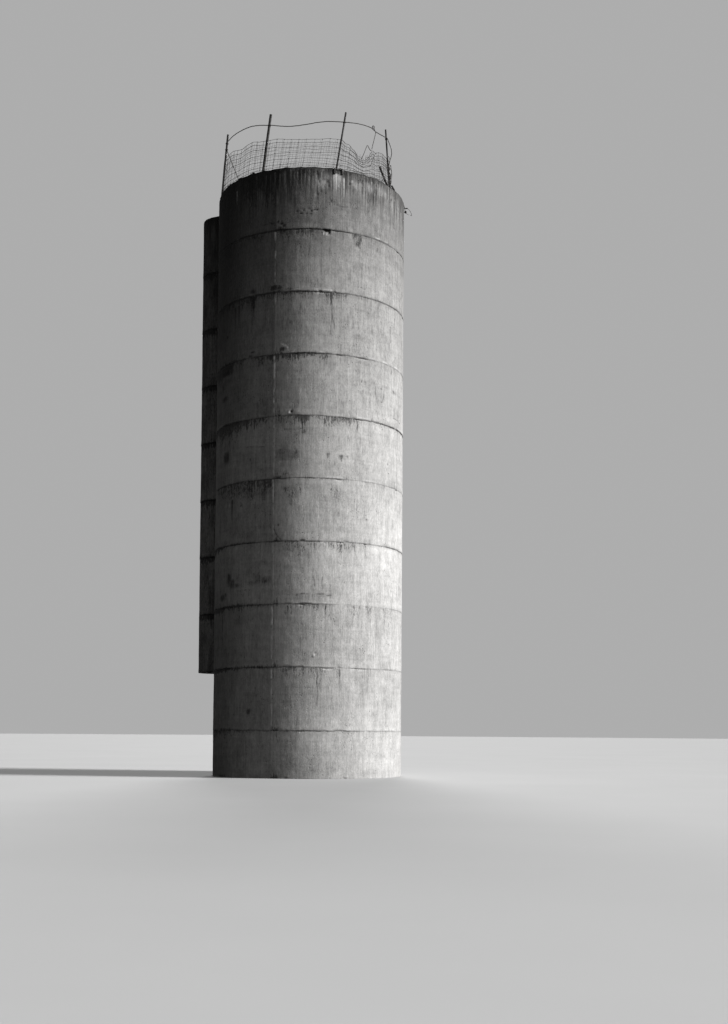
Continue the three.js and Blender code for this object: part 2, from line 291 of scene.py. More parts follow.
def concrete(name, level):
    finish = Finish(name)
    noise = {use: finish.noise(*row) for use, row in CONCRETE_NOISES.items()}
    x, y, z = finish.parts()

    # Clouds, mottling and upright streaks, as a factor near one
    tone = 1.0
    for row, strength in TONE_NOISES:
        tone = tone + (finish.noise(*row) - 0.5) * strength
    # The tone coat is each lift's own lightness, with painted shade on the left side
    tone = tone * finish.painted("tone")

    # Short thin dashes of dirt, thick in some places and few in others
    dash = noise["dash"].ramp(0.58, 0.70)
    crowd = noise["crowd"].ramp(0.45, 0.62)
    tone = tone * (1.0 - dash * crowd * DASH_DARK)

    # The line at each joint, which wanders, and is thick, thin or worn away
    off_joint = (((z - FIRST_LIFT) / LIFT + 0.5).part() - 0.5) * LIFT
    from_joint = (off_joint - (noise["drift"] - 0.5) * JOINT_DRIFT).size()
    worn = noise["worn"] - 0.5
    joint = finish.painted("joint")
    line = (from_joint - worn * 0.060).ramp(0.003, 0.026, 1.0, 0.0) * joint
    shade = (from_joint - worn * 0.12).ramp(0.0, 0.075, 1.0, 0.0) * joint
    faint = noise["faint"].ramp(0.36, 0.60)
    tone = tone * (1.0 - line * (LINE_DARK + faint * LINE_DARK_MORE)) * (1.0 - shade * JOINT_SHADE)

    # The weathered head of the silo: rain black below the rim, in streaks, and a slow change downwards
    depth = RIM - z
    soot = (noise["black"] - depth * SOOT_FADE).ramp(0.30, 0.58) * finish.painted("soot")
    rain = (noise["rain"] - 0.5) * depth.ramp(0.20, 1.0, RAIN_STRENGTH, 0.0)
    tone = tone * (1.0 - soot * SOOT_DARK) * (1.0 + rain)
    tone = tone * depth.ramp(-2.2, 5.2, 0.30, 1.0)

    # What the wall's own marks add, broken up by finer noise
    crumb, clump, comb = (noise[use] - 0.5 for use in ("crumb", "clump", "comb"))
    given = finish.painted("grime")
    grime = given + crumb * 1.0 + clump * 1.2 + comb * 1.2
    grime = grime.ramp(0.32, 0.78) * given.ramp(0.0, 0.14)
    # This coat holds real stains, and also painted shade: the shadow in the seam's groove and the dark
    # patch on the upper left edge
    given = finish.painted("stain_and_shade")
    rough = crumb * 0.6 + comb * 0.5
    stain_and_shade = given + rough * given.ramp(0.02, 0.4)
    # This pale coat holds lime and leaked paste, and also a painted highlight on the seam's rib
    shown = finish.painted("bloom_and_highlight")
    bloom_and_highlight = (shown + rough * 1.3 * shown.ramp(0.02, 0.4)).ramp(0.05, 0.95)
    tone = tone * (1.0 - stain_and_shade.ramp(0.0, 1.0) * STAIN_AND_SHADE_DARK) * (1.0 - grime * GRIME_DARK)

    # Small holes where air was caught against the form
    hole = finish.cells(*HOLE_CELLS).ramp(0.12, 0.20, 1.0, 0.0) * noise["few"].ramp(0.50, 0.66)
    tone = tone * (1.0 - hole * HOLE_DARK)

    # The inside of the bore is darker, with the silage's stain
    radius = (x * x + y * y) ** 0.5
    inside = (radius - (BORE + 0.012)).ramp(0.0, 0.01, 1.0, 0.0)
    tone = tone * (1.0 - inside * noise["silage"].ramp(0.3, 0.7, 0.15, 0.5))

    darkest = grey(level * DARKEST, WARM)
    lightest = grey(level * LIGHTEST, WARM * 0.7)
    colour = finish.mix((tone * 0.5).ramp(0.0, 1.0), darkest, lightest)
    colour = finish.mix(bloom_and_highlight * BLOOM_AND_HIGHLIGHT_COVER, colour, grey(level * BLOOM_AND_HIGHLIGHT_LIGHT, WARM * 0.4))

    # The face's grain: sand, and the faint upright scratches left when the form came off
    relief = noise["coarse"] * 0.6 + (noise["sand"] * 0.22 + noise["scratch"] * 0.25)
    relief = relief - hole * 1.2 - line * 0.4 - grime * 0.25
    dull = 0.9 + (noise["coarse"] - 0.5) * 0.12
    return finish.close(
        base_color=colour,
        roughness=dull.least(1.0),
        specular_ior_level=0.2,
        normal=finish.bump(relief, BUMP_DEPTH, 0.8),
    )


# Steel


def rusted(name, level, shine, scale):
    finish = Finish(name)
    scab = finish.noise(scale, scale * 0.6, 0.0, 4.0, 0.65)
    spot = finish.cells(scale * 2.2, scale * 1.4, 3.0)
    grain = finish.noise(scale * 6.0, scale * 6.0, 5.0, 3.0, 0.7)
    rust = (scab * 0.8 + grain * 0.35 - spot * 0.25).ramp(0.28, 0.62)
    brown = (level * 0.95, level * 0.62, level * 0.44, 1.0)
    colour = finish.mix(rust, grey(level * 1.5), brown)
    colour = finish.mix(grain.ramp(0.5, 0.8) * 0.6, colour, grey(level * 0.45))
    return finish.close(
        base_color=colour,
        metallic=rust.ramp(0.0, 1.0, shine, 0.05),
        roughness=rust.ramp(0.0, 1.0, 0.52, 0.92),
        normal=finish.bump(grain * 0.5 + rust * 0.6, 0.002, 0.6),
    )


def pale_floor():
    finish = Finish("pale_floor")
    cloud = finish.noise(0.3, 0.3, 0.0, 3.0, 0.5)
    return finish.close(base_color=finish.mix(cloud, grey(0.33), grey(0.37)), roughness=0.9)


# Building meshes


def link_piece(name, mesh, material):
    piece = bpy.data.objects.new(name, mesh)
    bpy.context.scene.collection.objects.link(piece)
    mesh.materials.clear()
    mesh.materials.append(material)
    return piece


def settle(piece, slot, *nodes):
    """The piece rides on the body and stands for its CAD nodes. The slot is not used."""
    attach(piece, BODY)
    if nodes:
        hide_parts(*nodes)


def finish_faces(mesh, smooth_angle):
    """Turns the faces outwards and shades them smooth, up to a sharp edge."""
    work = bmesh.new()
    work.from_mesh(mesh)
    bmesh.ops.recalc_face_normals(work, faces=work.faces)
    work.to_mesh(mesh)
    work.free()
    mesh.shade_smooth()
    mesh.set_sharp_from_angle(angle=math.radians(smooth_angle))


def mesh_of(name, points, faces, smooth_angle=38.0):
    mesh = bpy.data.meshes.new(name)
    mesh.from_pydata([tuple(point) for point in points], [], faces)
    mesh.update()
    finish_faces(mesh, smooth_angle)
    return mesh


def band_faces(stations, count, start=0, closed=True):
    """The faces between stations that follow each other, each of them count points, closed or open."""
    faces = []
    for station in range(stations - 1):
        for side in range(count if closed else count - 1):
            low = start + station * count + side
            next_low = start + station * count + (side + 1) % count
            faces.append((low, next_low, next_low + count, low + count))
    return faces


def paint(mesh, name, values):
    layer = mesh.attributes.new(name, "FLOAT", "POINT")
    layer.data.foreach_set("value", np.asarray(values, dtype=np.float32).ravel())


# How much of each coat there is on the faces that the photo doesn't show

HIDDEN_COAT = {"stain_and_shade": 0.25, "bloom_and_highlight": 0.0, "grime": 0.2, "joint": 0.5, "tone": 1.0, "soot": 0.6}


def coat(mesh, coats, stations, count, hidden=HIDDEN_COAT):
    """Paints each coat on the face's rows, which come first, and the hidden share of it on the others."""
    for mark, share in hidden.items():
        values = np.full((stations, count), share)
        if mark in coats:
            values[: len(coats[mark])] = coats[mark]
        paint(mesh, mark, values)


def ripple(seed, across, up, turn, rise):
    """Smooth random numbers from -1 to 1 over a band that closes on itself: cells across it and up it."""
    grid = np.random.default_rng(seed).uniform(-1.0, 1.0, (up + 2, across))
    u = np.mod(turn / 360.0, 1.0) * across
    v = np.clip(rise, 0.0, 1.0) * up
    column = np.floor(u).astype(int)
    row = np.floor(v).astype(int)
    share_u = u - column
    share_v = v - row
    share_u = share_u * share_u * (3 - 2 * share_u)
    share_v = share_v * share_v * (3 - 2 * share_v)
    left = column % across
    right = (column + 1) % across
    low = grid[row, left] * (1 - share_u) + grid[row, right] * share_u
    high = grid[row + 1, left] * (1 - share_u) + grid[row + 1, right] * share_u
    return low * (1 - share_v) + high * share_v


def ease(value, low, high):
    share = np.clip((value - low) / (high - low), 0.0, 1.0)
    return share * share * (3 - 2 * share)


def between(value, first, full, fade, last):
    """Nought up to first, one from full to fade, and nought past last, with smooth changes."""
    return ease(value, first, full) * ease(-value, -last, -fade)


def near(value, reach, start=0.0):
    """One up to start, and nought from reach on."""
    return 1 - ease(value, start, reach)


# Marks on the wall that show in the photo. Degrees are counted from the photo's side, heights and sizes are
# in metres. Dark and pale are even, grime is broken up


class Blot:
    """A patch, soft or with square shoulders."""

    def __init__(self, at, height, wide, tall, dark=0.0, grime=0.0, deep=0.0, square=1.4, pale=0.0):
        self.arc, self.height, self.wide, self.tall = math.radians(at) * OUTER, height, wide, tall
        self.dark, self.pale, self.grime, self.deep, self.square = dark, pale, grime, deep, square
        self.low, self.high = height - tall, height + tall

    def mask(self, arc, height):
        across = np.abs((arc - self.arc) / (self.wide / 2)) ** (2 * self.square)
        up = np.abs((height - self.height) / (self.tall / 2)) ** (2 * self.square)
        return np.exp(-1.2 * (across + up))


class Run(Blot):
    """A run that starts at its top and fades downwards."""

    def mask(self, arc, height):
        down = (self.height - height) / self.tall
        across = np.exp(-1.2 * np.abs((arc - self.arc) / (self.wide / 2)) ** 2.6)
        return across * ease(down, -0.03, 0.03) * np.clip(1.0 - down, 0.0, 1.0) ** 0.6


class Line:
    """A crack or an edge, as a chain of degrees and heights."""

    def __init__(self, points, dark, deep, wide=0.018, pale=0.0):
        self.points = [(math.radians(at) * OUTER, height) for at, height in points]
        self.dark, self.pale, self.grime, self.deep, self.wide = dark, pale, 0.0, deep, wide
        heights = [height for _, height in points]
        self.low, self.high = min(heights) - 0.1, max(heights) + 0.1

    def mask(self, arc, height):
        mask = np.zeros_like(height)
        for (ax, low), (bx, high) in zip(self.points, self.points[1:]):
            length = (bx - ax) ** 2 + (high - low) ** 2
            share = np.clip(((arc - ax) * (bx - ax) + (height - low) * (high - low)) / length, 0.0, 1.0)
            away = np.hypot(arc - ax - share * (bx - ax), height - low - share * (high - low))
            mask = np.maximum(mask, np.clip(1.25 - away / self.wide, 0.0, 1.0))
        return mask


# Runs: degrees, height of the top, width, length and strength. The pale ones are lime, most of them under
# the third post and on the right of the top lift. The dark ones are rain black, rust and damp

PALE_RUNS = [
    (13, 11.78, 0.045, 0.4, 0.6), (14.2, 11.8, 0.055, 0.52, 0.78), (15.5, 11.79, 0.045, 0.46, 0.66),
    (16.7, 11.78, 0.035, 0.36, 0.5), (18.9, 11.74, 0.045, 0.52, 0.75), (12.6, 11.78, 0.05, 0.3, 0.42),
    (27, 11.72, 0.05, 0.35, 0.25), (29.3, 11.7, 0.05, 0.4, 0.3), (37.5, 11.8, 0.05, 0.22, 0.4),
    (44, 11.76, 0.04, 0.3, 0.3), (49.5, 11.74, 0.05, 0.35, 0.25), (57, 11.72, 0.04, 0.4, 0.25),
    (63.5, 11.75, 0.05, 0.5, 0.25), (-50.6, 11.68, 0.05, 0.4, 0.5), (-16, 11.82, 0.045, 0.42, 0.42),
    (-27.8, 11.8, 0.04, 0.36, 0.25), (-8.4, 11.8, 0.03, 0.3, 0.35), (-6.2, 11.74, 0.03, 0.26, 0.35),
    (2.6, 11.74, 0.035, 0.36, 0.4), (32.6, 11.66, 0.035, 0.4, 0.3), (40.2, 11.6, 0.035, 0.36, 0.3),
    (49.8, 11.7, 0.1, 0.46, 0.34), (52, 11.6, 0.05, 0.5, 0.35), (56.8, 11.62, 0.09, 0.6, 0.28),
    (61.6, 11.58, 0.08, 0.7, 0.22), (65.4, 11.6, 0.12, 0.75, 0.26), (71, 11.56, 0.12, 0.8, 0.26),
    (-12.5, 11.86, 0.05, 0.5, 0.38), (-22, 11.83, 0.045, 0.55, 0.36), (-24.8, 11.8, 0.035, 0.48, 0.26),
    (-18.9, 11.78, 0.028, 0.5, 0.34), (-10.2, 11.8, 0.032, 0.46, 0.38), (-4.1, 11.78, 0.03, 0.4, 0.4),
    (0.6, 11.72, 0.028, 0.42, 0.34), (1.8, 11.8, 0.026, 0.36, 0.34), (-1.8, 11.74, 0.05, 0.5, 0.38),
    (5.4, 11.8, 0.03, 0.4, 0.35), (7.6, 11.74, 0.03, 0.45, 0.35),
]
DARK_RUNS = [
    (14.9, 11.66, 0.02, 0.3, 0.2), (17.6, 11.89, 0.05, 0.2, 0.7), (11.2, 11.86, 0.08, 0.14, 0.6),
    (12.3, 11.89, 0.07, 0.15, 0.9), (31, 11.64, 0.05, 0.52, 0.5), (34.5, 11.68, 0.06, 0.32, 0.45),
    (36.3, 11.52, 0.05, 0.45, 0.5), (38.8, 11.68, 0.06, 0.72, 0.62), (41.5, 11.68, 0.09, 0.36, 0.5),
    (46, 11.6, 0.05, 0.3, 0.3), (53, 11.6, 0.05, 0.35, 0.35), (59.5, 11.64, 0.06, 0.62, 0.55),
    (68, 11.5, 0.05, 0.6, 0.4), (-56, 11.75, 0.2, 0.55, 0.5), (-40, 11.82, 0.08, 0.7, 0.6),
    (-37.4, 11.75, 0.05, 0.6, 0.5), (-33, 11.85, 0.06, 0.5, 0.4), (-26.5, 11.82, 0.08, 0.62, 0.6),
    (-23.6, 11.78, 0.05, 0.5, 0.5), (-20, 11.89, 0.06, 0.6, 0.68), (-18, 11.89, 0.045, 0.45, 0.62),
    (-9.6, 11.89, 0.05, 0.5, 0.55), (-7.2, 11.86, 0.05, 0.62, 0.75), (-5, 11.86, 0.06, 0.62, 0.7),
    (-3.4, 11.7, 0.04, 0.4, 0.5), (1, 11.86, 0.07, 0.4, 0.45), (9.4, 11.88, 0.05, 0.4, 0.45),
    (-14.2, 11.84, 0.04, 0.34, 0.6), (-30.6, 11.84, 0.05, 0.42, 0.5), (-11, 11.83, 0.035, 0.36, 0.55),
    (-0.4, 11.8, 0.04, 0.46, 0.6), (3.9, 11.8, 0.04, 0.3, 0.55), (6.6, 11.84, 0.04, 0.28, 0.5),
    (24.6, 11.62, 0.04, 0.36, 0.45), (18.8, 10.62, 0.05, 0.15, 0.35), (10.4, 10.34, 0.04, 0.48, 0.35),
    (-47.6, 9.34, 0.05, 0.52, 0.65), (-51, 9.32, 0.05, 0.55, 0.6), (-36.3, 9.44, 0.09, 0.6, 0.6),
    (-7, 9.05, 0.03, 0.35, 0.3), (43.6, 9.38, 0.035, 0.58, 0.45), (56, 9.05, 0.05, 0.34, 0.4),
    (61, 9.26, 0.04, 0.3, 0.4), (5.6, 8.21, 0.03, 0.28, 0.5), (8.7, 8.21, 0.03, 0.28, 0.45),
    (41.3, 8.18, 0.035, 0.42, 0.35), (8.1, 6.82, 0.035, 0.28, 0.35), (-52.3, 5.48, 0.055, 0.54, 0.75),
    (-10.3, 5.44, 0.05, 0.28, 0.4), (12.6, 5.72, 0.03, 0.42, 0.4), (14.7, 5.62, 0.025, 0.36, 0.35),
    (16.5, 5.62, 0.025, 0.36, 0.35), (18.3, 5.62, 0.03, 0.36, 0.4), (25, 5.34, 0.025, 0.28, 0.3),
    (27, 5.44, 0.025, 0.32, 0.4), (29.2, 5.44, 0.025, 0.28, 0.35), (-12.2, 4.52, 0.06, 0.26, 0.26),
    (-8.6, 4.52, 0.07, 0.46, 0.3), (-5.8, 4.52, 0.05, 0.52, 0.3), (-3.4, 4.5, 0.04, 0.3, 0.26),
    (3.2, 4.54, 0.04, 0.36, 0.3), (19.2, 4.54, 0.07, 0.34, 0.4), (27.5, 4.54, 0.05, 0.24, 0.35),
    (35.3, 4.46, 0.03, 0.3, 0.35), (-1.9, 3.86, 0.035, 0.16, 0.3), (-0.4, 3.84, 0.03, 0.12, 0.34),
    (-44.3, 3.16, 0.035, 0.36, 0.5), (-62.5, 3.22, 0.06, 0.62, 0.45), (-12, 3.33, 0.04, 0.42, 0.5),
    (9.6, 3.3, 0.035, 0.36, 0.5), (13, 3.12, 0.025, 0.16, 0.4), (30, 3.22, 0.03, 0.3, 0.4),
    (39, 3.12, 0.03, 0.3, 0.4), (51, 3.12, 0.04, 0.32, 0.35), (56, 3.12, 0.03, 0.32, 0.3),
    (8.8, 2.1, 0.03, 0.4, 0.22), (18.3, 2.12, 0.06, 0.44, 0.4), (19.4, 1.9, 0.05, 0.3, 0.24),
    (-3, 2.12, 0.04, 0.4, 0.35), (0.6, 2.12, 0.04, 0.44, 0.35),
]

# Patches: degrees, height, width, height of the patch, and for the dark ones how dark, how much grime, how
# deep and how square, for the pale ones how pale, how deep and how square

PALE_BLOTS = [
    (24, 11.7, 0.07, 0.06, 0.5), (5.8, 11.58, 0.3, 0.34, 0.34), (8.4, 11.72, 0.2, 0.2, 0.28),
    (-16.5, 11.76, 0.2, 0.24, 0.16), (27, 11.63, 0.3, 0.22, 0.28), (36, 11.66, 0.34, 0.28, 0.32),
    (46, 11.68, 0.4, 0.26, 0.28), (62, 11.6, 0.4, 0.26, 0.18), (7, 10.585, 0.035, 0.06, 0.8),
    (8.6, 10.575, 0.035, 0.06, 0.75), (-12.3, 7.065, 0.05, 0.04, 0.9, -0.014),
    (-15.5, 5.97, 0.15, 0.09, 0.35), (1, 5.715, 1.45, 0.1, 0.3, 0, 2), (-55, 5.38, 0.1, 0.1, 0.4),
    (-56, 5.71, 0.2, 0.05, 0.35), (-54, 5.56, 0.14, 0.05, 0.3), (-13.5, 5.05, 0.24, 0.52, 0.2),
    (-54, 3.51, 0.09, 0.2, 0.35), (-13.5, 2.95, 0.72, 3.6, 0.17, 0, 1.6), (-7, 3.6, 0.5, 1.7, 0.12, 0, 1.6),
    (3.2, 2.37, 0.045, 0.045, 0.8, -0.012),
]
BLOTS = [
    (22.6, 11.64, 0.05, 0.05, 0.7, 0, 0.01), (12.6, 11.24, 0.16, 0.09, 0.15, 0.5),
    # The wide soft patch at -68 degrees near the head is painted shade on the shaded edge of the wall
    (14.6, 11.875, 0.2, 0.05, 0.8), (-68, 11.2, 0.9, 1.9, 0.26, 0, 0, 1.6),
    (3.2, 11.36, 0.05, 0.05, 0.6, 0, 0.008), (4.2, 11.61, 0.05, 0.06, 0.7, 0, 0.01),
    (5.2, 11.43, 0.05, 0.04, 0.6, 0, 0.008), (6.4, 11.66, 0.05, 0.05, 0.6, 0, 0.008),
    (7, 11.51, 0.05, 0.04, 0.6, 0, 0.008), (8.7, 11.62, 0.05, 0.05, 0.7, 0, 0.01),
    (9.6, 11.54, 0.05, 0.04, 0.6, 0, 0.008), (-8.5, 11.02, 0.04, 0.035, 0.75, 0, 0.01),
    (-6.2, 10.97, 0.06, 0.03, 0.8, 0, 0.01), (-4.6, 11.04, 0.05, 0.035, 0.8, 0, 0.01),
    (-3, 10.965, 0.05, 0.03, 0.8, 0, 0.01), (-2, 11.07, 0.04, 0.03, 0.7, 0, 0.008),
    (-0.8, 10.965, 0.07, 0.03, 0.85, 0, 0.01), (-0.2, 11.03, 0.05, 0.035, 0.85, 0, 0.01),
    (1.6, 11.06, 0.04, 0.03, 0.75, 0, 0.008), (3, 11.05, 0.05, 0.035, 0.8, 0, 0.01),
    (-19.8, 10.84, 0.05, 0.05, 0.7, 0, 0.01), (-17.6, 10.8, 0.07, 0.05, 0.85, 0, 0.014),
    (-16.2, 10.755, 0.06, 0.05, 0.85, 0, 0.014), (-12.2, 10.86, 0.06, 0.03, 0.4),
    (-26, 10.84, 0.6, 0.26, 0.16), (-9, 10.82, 0.7, 0.24, 0.16),
    (8.8, 10.65, 0.13, 0.055, 0.98, 0, 0.034, 1.5), (10.2, 10.61, 0.05, 0.05, 0.9, 0, 0.02),
    (28.2, 10.48, 0.2, 0.22, 0, 0.62, 0, 1.6), (42.2, 10.46, 0.08, 0.13, 0, 0.5),
    (-60.5, 10.47, 0.22, 0.22, 0.45), (-36, 9.53, 0.16, 0.14, 0.5), (-20.5, 9.53, 0.34, 0.15, 0, 0.85),
    (-12, 9.5, 0.3, 0.08, 0, 0.6), (-52, 9.52, 0.3, 0.08, 0.35), (-59.5, 8.79, 0.09, 0.07, 0.65),
    (-57, 8.89, 0.08, 0.06, 0.4), (-12, 8.84, 0.07, 0.07, 0.35), (11.4, 9.36, 0.1, 0.16, 0, 0.8),
    (56, 8.73, 0.05, 0.05, 0.45), (-36, 8.33, 0.14, 0.05, 0.65), (-37.6, 8.26, 0.1, 0.05, 0.5),
    (-52, 8.255, 0.3, 0.05, 0.4), (-16.6, 8.32, 0.16, 0.09, 0, 0.9), (-60.5, 8.06, 0.42, 0.13, 0.7),
    (40.8, 7.78, 0.05, 0.11, 0.35), (32.6, 7.775, 0.32, 0.08, 0.22, 0.3),
    (35.4, 7.72, 0.2, 0.07, 0.16, 0.3), (27, 7.68, 0.16, 0.05, 0, 0.45), (40, 7.79, 0.24, 0.08, 0.18, 0.3),
    (45.5, 7.72, 0.3, 0.07, 0.2, 0.3), (51, 7.77, 0.36, 0.09, 0.22, 0.3),
    (62, 7.74, 0.45, 0.12, 0.25, 0.35), (57.3, 8.12, 0.06, 0.14, 0.35), (-65, 7.8, 0.12, 0.2, 0.4),
    (-62.5, 7.55, 0.28, 0.12, 0.6), (-24, 7.7, 0.05, 0.08, 0.35), (-10.7, 7.09, 0.05, 0.05, 0.9, 0, 0.014),
    (-59.5, 6.35, 0.3, 0.28, 0.7), (-37, 6.21, 0.06, 0.08, 0.5), (-4.2, 6.7, 0.18, 0.12, 0.28, 0.4),
    (-6.4, 6.75, 0.2, 0.07, 0.2, 0.3), (-13.6, 6.26, 0.5, 0.22, 0.34, 0.12, 0, 2.5),
    (-16, 6.28, 0.22, 0.16, 0.36, 0.12), (-9.4, 6.25, 0.28, 0.2, 0.4, 0.12, 0, 2),
    (-7.6, 6.31, 0.14, 0.1, 0.34, 0.12), (-4.2, 6.09, 0.1, 0.05, 0.3), (10.5, 6.272, 0.1, 0.035, 0.55),
    (10.5, 6.246, 0.07, 0.045, 0.55), (10.5, 6.215, 0.04, 0.05, 0.5), (18.4, 6.262, 0.12, 0.04, 0.6),
    (18.4, 6.232, 0.09, 0.05, 0.62), (18.5, 6.196, 0.06, 0.055, 0.6), (18.6, 6.16, 0.035, 0.055, 0.5),
    (22.2, 6.255, 0.07, 0.045, 0.45), (22.2, 6.225, 0.045, 0.05, 0.42), (53.6, 6.24, 0.06, 0.06, 0.45),
    (-13, 5.87, 0.45, 0.1, 0, 0.45), (-58, 5.6, 0.4, 0.2, 0.16, 0.3), (-48, 5.6, 0.5, 0.28, 0.22, 0.34),
    (-36, 5.58, 0.54, 0.32, 0.3, 0.36), (-27, 5.58, 0.42, 0.26, 0.24, 0.34),
    (-13.5, 5.57, 0.17, 0.14, 0, 0.62), (-10, 5.52, 0.36, 0.3, 0.16, 0.46),
    (-5.6, 5.55, 0.09, 0.17, 0, 0.6), (15.3, 5.51, 0.28, 0.34, 0.14, 0.4, 0, 1.6),
    (35.6, 5.06, 0.06, 0.06, 0.5), (-17.8, 4.89, 0.06, 0.07, 0.55), (-8.5, 4.22, 0.26, 0.26, 0.14, 0.36),
    (-13.5, 4.08, 0.1, 0.07, 0.28), (-10.5, 4.42, 0.4, 0.12, 0.26, 0.3), (-54.6, 3.9, 0.2, 0.32, 0.58, 0.3),
    (-51.6, 3.8, 0.22, 0.22, 0.56, 0.3), (-47.6, 3.76, 0.26, 0.12, 0.46, 0.3),
    (-46.8, 3.92, 0.12, 0.12, 0.3, 0.3), (-37.8, 4.02, 0.16, 0.16, 0.24, 0.3),
    (-34.8, 3.78, 0.24, 0.12, 0.34, 0.3), (-30.8, 3.86, 0.2, 0.28, 0.4, 0.34),
    (-33, 3.92, 0.24, 0.2, 0.22, 0.2), (-25.4, 3.83, 0.28, 0.17, 0.46, 0.3),
    (-19.6, 3.75, 0.12, 0.09, 0.3, 0.35), (-62.6, 3.55, 0.28, 0.17, 0.58, 0.4),
    (-58.6, 3.6, 0.22, 0.1, 0.4, 0.3), (3.1, 3.8, 0.07, 0.14, 0.16), (7.8, 3.73, 0.07, 0.16, 0.18),
    (2.6, 3.515, 0.9, 0.1, 0.34, 0, 0, 1.8), (-1, 3.475, 0.7, 0.09, 0.26, 0, 0, 1.6),
    (58.5, 3.72, 0.05, 0.06, 0.3), (-29, 2.75, 0.62, 1, 0.11, 0, 0, 1.6),
    (-52, 3.05, 0.74, 0.56, 0.14, 0, 0, 1.6), (-44, 1.32, 0.55, 0.44, 0.12, 0, 0, 1.6),
    (-52, 3.72, 0.6, 0.3, 0.1, 0, 0, 1.6), (4, 2.41, 0.035, 0.04, 0.6, 0, 0.008),
    (25.5, 2.53, 0.04, 0.05, 0.3), (-9, 1.74, 0.34, 0.24, 0.14, 0.28),
    (-13.5, 1.46, 0.24, 0.16, 0.14, 0.24), (-3, 1.5, 0.3, 0.24, 0.1, 0.22), (-36.5, 1.28, 0.13, 0.13, 0.6),
    (-48, 1.23, 0.12, 0.06, 0.35), (-32, 1.23, 0.08, 0.05, 0.3), (-18.6, 1.3, 0.09, 0.18, 0.4),
    (14.6, 1, 0.05, 0.06, 0.35),
]

# Lines: places, how dark, how deep, how wide and how pale

LINES = [
    ([(10.2, 11.31), (11.4, 11.23), (13, 11.19)], 0.5, 0.003, 0.016),
    ([(14.6, 11.18), (18, 11.16), (21.4, 11.175)], 0.48, 0.002),
    ([(-28.5, 10.82), (-25, 10.835), (-22.6, 10.82)], 0.5, 0.003),
    ([(-13, 11.27), (-9, 11.26), (-6, 11.25)], 0.3, 0),
    ([(50, 9.84), (53, 9.87), (56.5, 9.94)], 0.2, 0.002),
    ([(11.2, 9.42), (11.6, 9.2), (12.1, 9.04), (12.5, 8.95), (13.4, 8.8),
      (13.7, 8.73)], 0.45, 0.003, 0.013),
    ([(12.1, 9.02), (12, 8.88), (11.5, 8.76), (11.6, 8.62)], 0.4, 0.003, 0.012),
    ([(-17.8, 8.42), (-16.2, 8.39), (-13.8, 8.345)], 0, -0.01, 0.02, 0.5),
    ([(49.3, 7.68), (49.1, 7.56), (48.2, 7.46), (46.6, 7.44)], 0.4, 0.002),
    ([(60, 7.225), (64, 7.205), (68, 7.205), (72, 7.18)], 0.5, 0.004),
    ([(-15, 6.745), (-9, 6.74), (-4.6, 6.75)], 0.5, 0.002),
    ([(-4.6, 6.95), (-4.4, 6.8), (-4.6, 6.66)], 0.55, 0.002),
    ([(-18, 6.36), (-11, 6.375), (-6.4, 6.365)], 0.3, 0.001),
    ([(-21, 6.165), (-13, 6.145), (-8, 6.14)], 0.3, 0.001),
    ([(-40, 6.5), (-34, 6.485), (-27, 6.47)], 0, 0, 0.018, 0.3),
    ([(-40, 6.47), (-34, 6.455), (-27, 6.44)], 0.3, 0),
    ([(10.2, 5.705), (13, 5.7)], 0.5, 0),
    ([(-20.6, 4.82), (-19, 4.7), (-16.6, 4.61)], 0.6, 0.003),
    ([(2.4, 3.88), (3.3, 3.8), (3.5, 3.7)], 0.4, 0.001, 0.02),
    ([(8, 3.88), (7.5, 3.78), (8.1, 3.66)], 0.44, 0.001, 0.02),
    ([(-7, 3.53), (-3, 3.56), (3, 3.57), (8, 3.555), (14, 3.515)], 0.58, 0.003, 0.014),
    ([(-7, 3.41), (2, 3.42), (14, 3.395)], 0.2, 0.001),
    ([(4.6, 2.13), (5.4, 1.98), (5, 1.84), (5.6, 1.66), (5, 1.4)], 0.36, 0.002),
    ([(6.6, 2.13), (7.2, 1.95), (6.8, 1.75), (7.4, 1.66)], 0.32, 0.002),
    ([(-15, 1.755), (-2, 1.75), (12, 1.76)], 0.22, 0),
    ([(-22, 1.63), (-8, 1.62), (6, 1.625)], 0.25, 0),
]
MARKS = [Run(*row[:4], pale=row[4]) for row in PALE_RUNS]
MARKS += [Run(*row) for row in DARK_RUNS]
MARKS += [Blot(*row[:4], 0.0, 0.0, *row[5:], pale=row[4]) for row in PALE_BLOTS]
MARKS += [Blot(*row) for row in BLOTS]
MARKS += [Line(*row) for row in LINES]

# Black growth that hangs from the head of each lift in the photo, as degrees, how far down it reaches and
# how thick it is

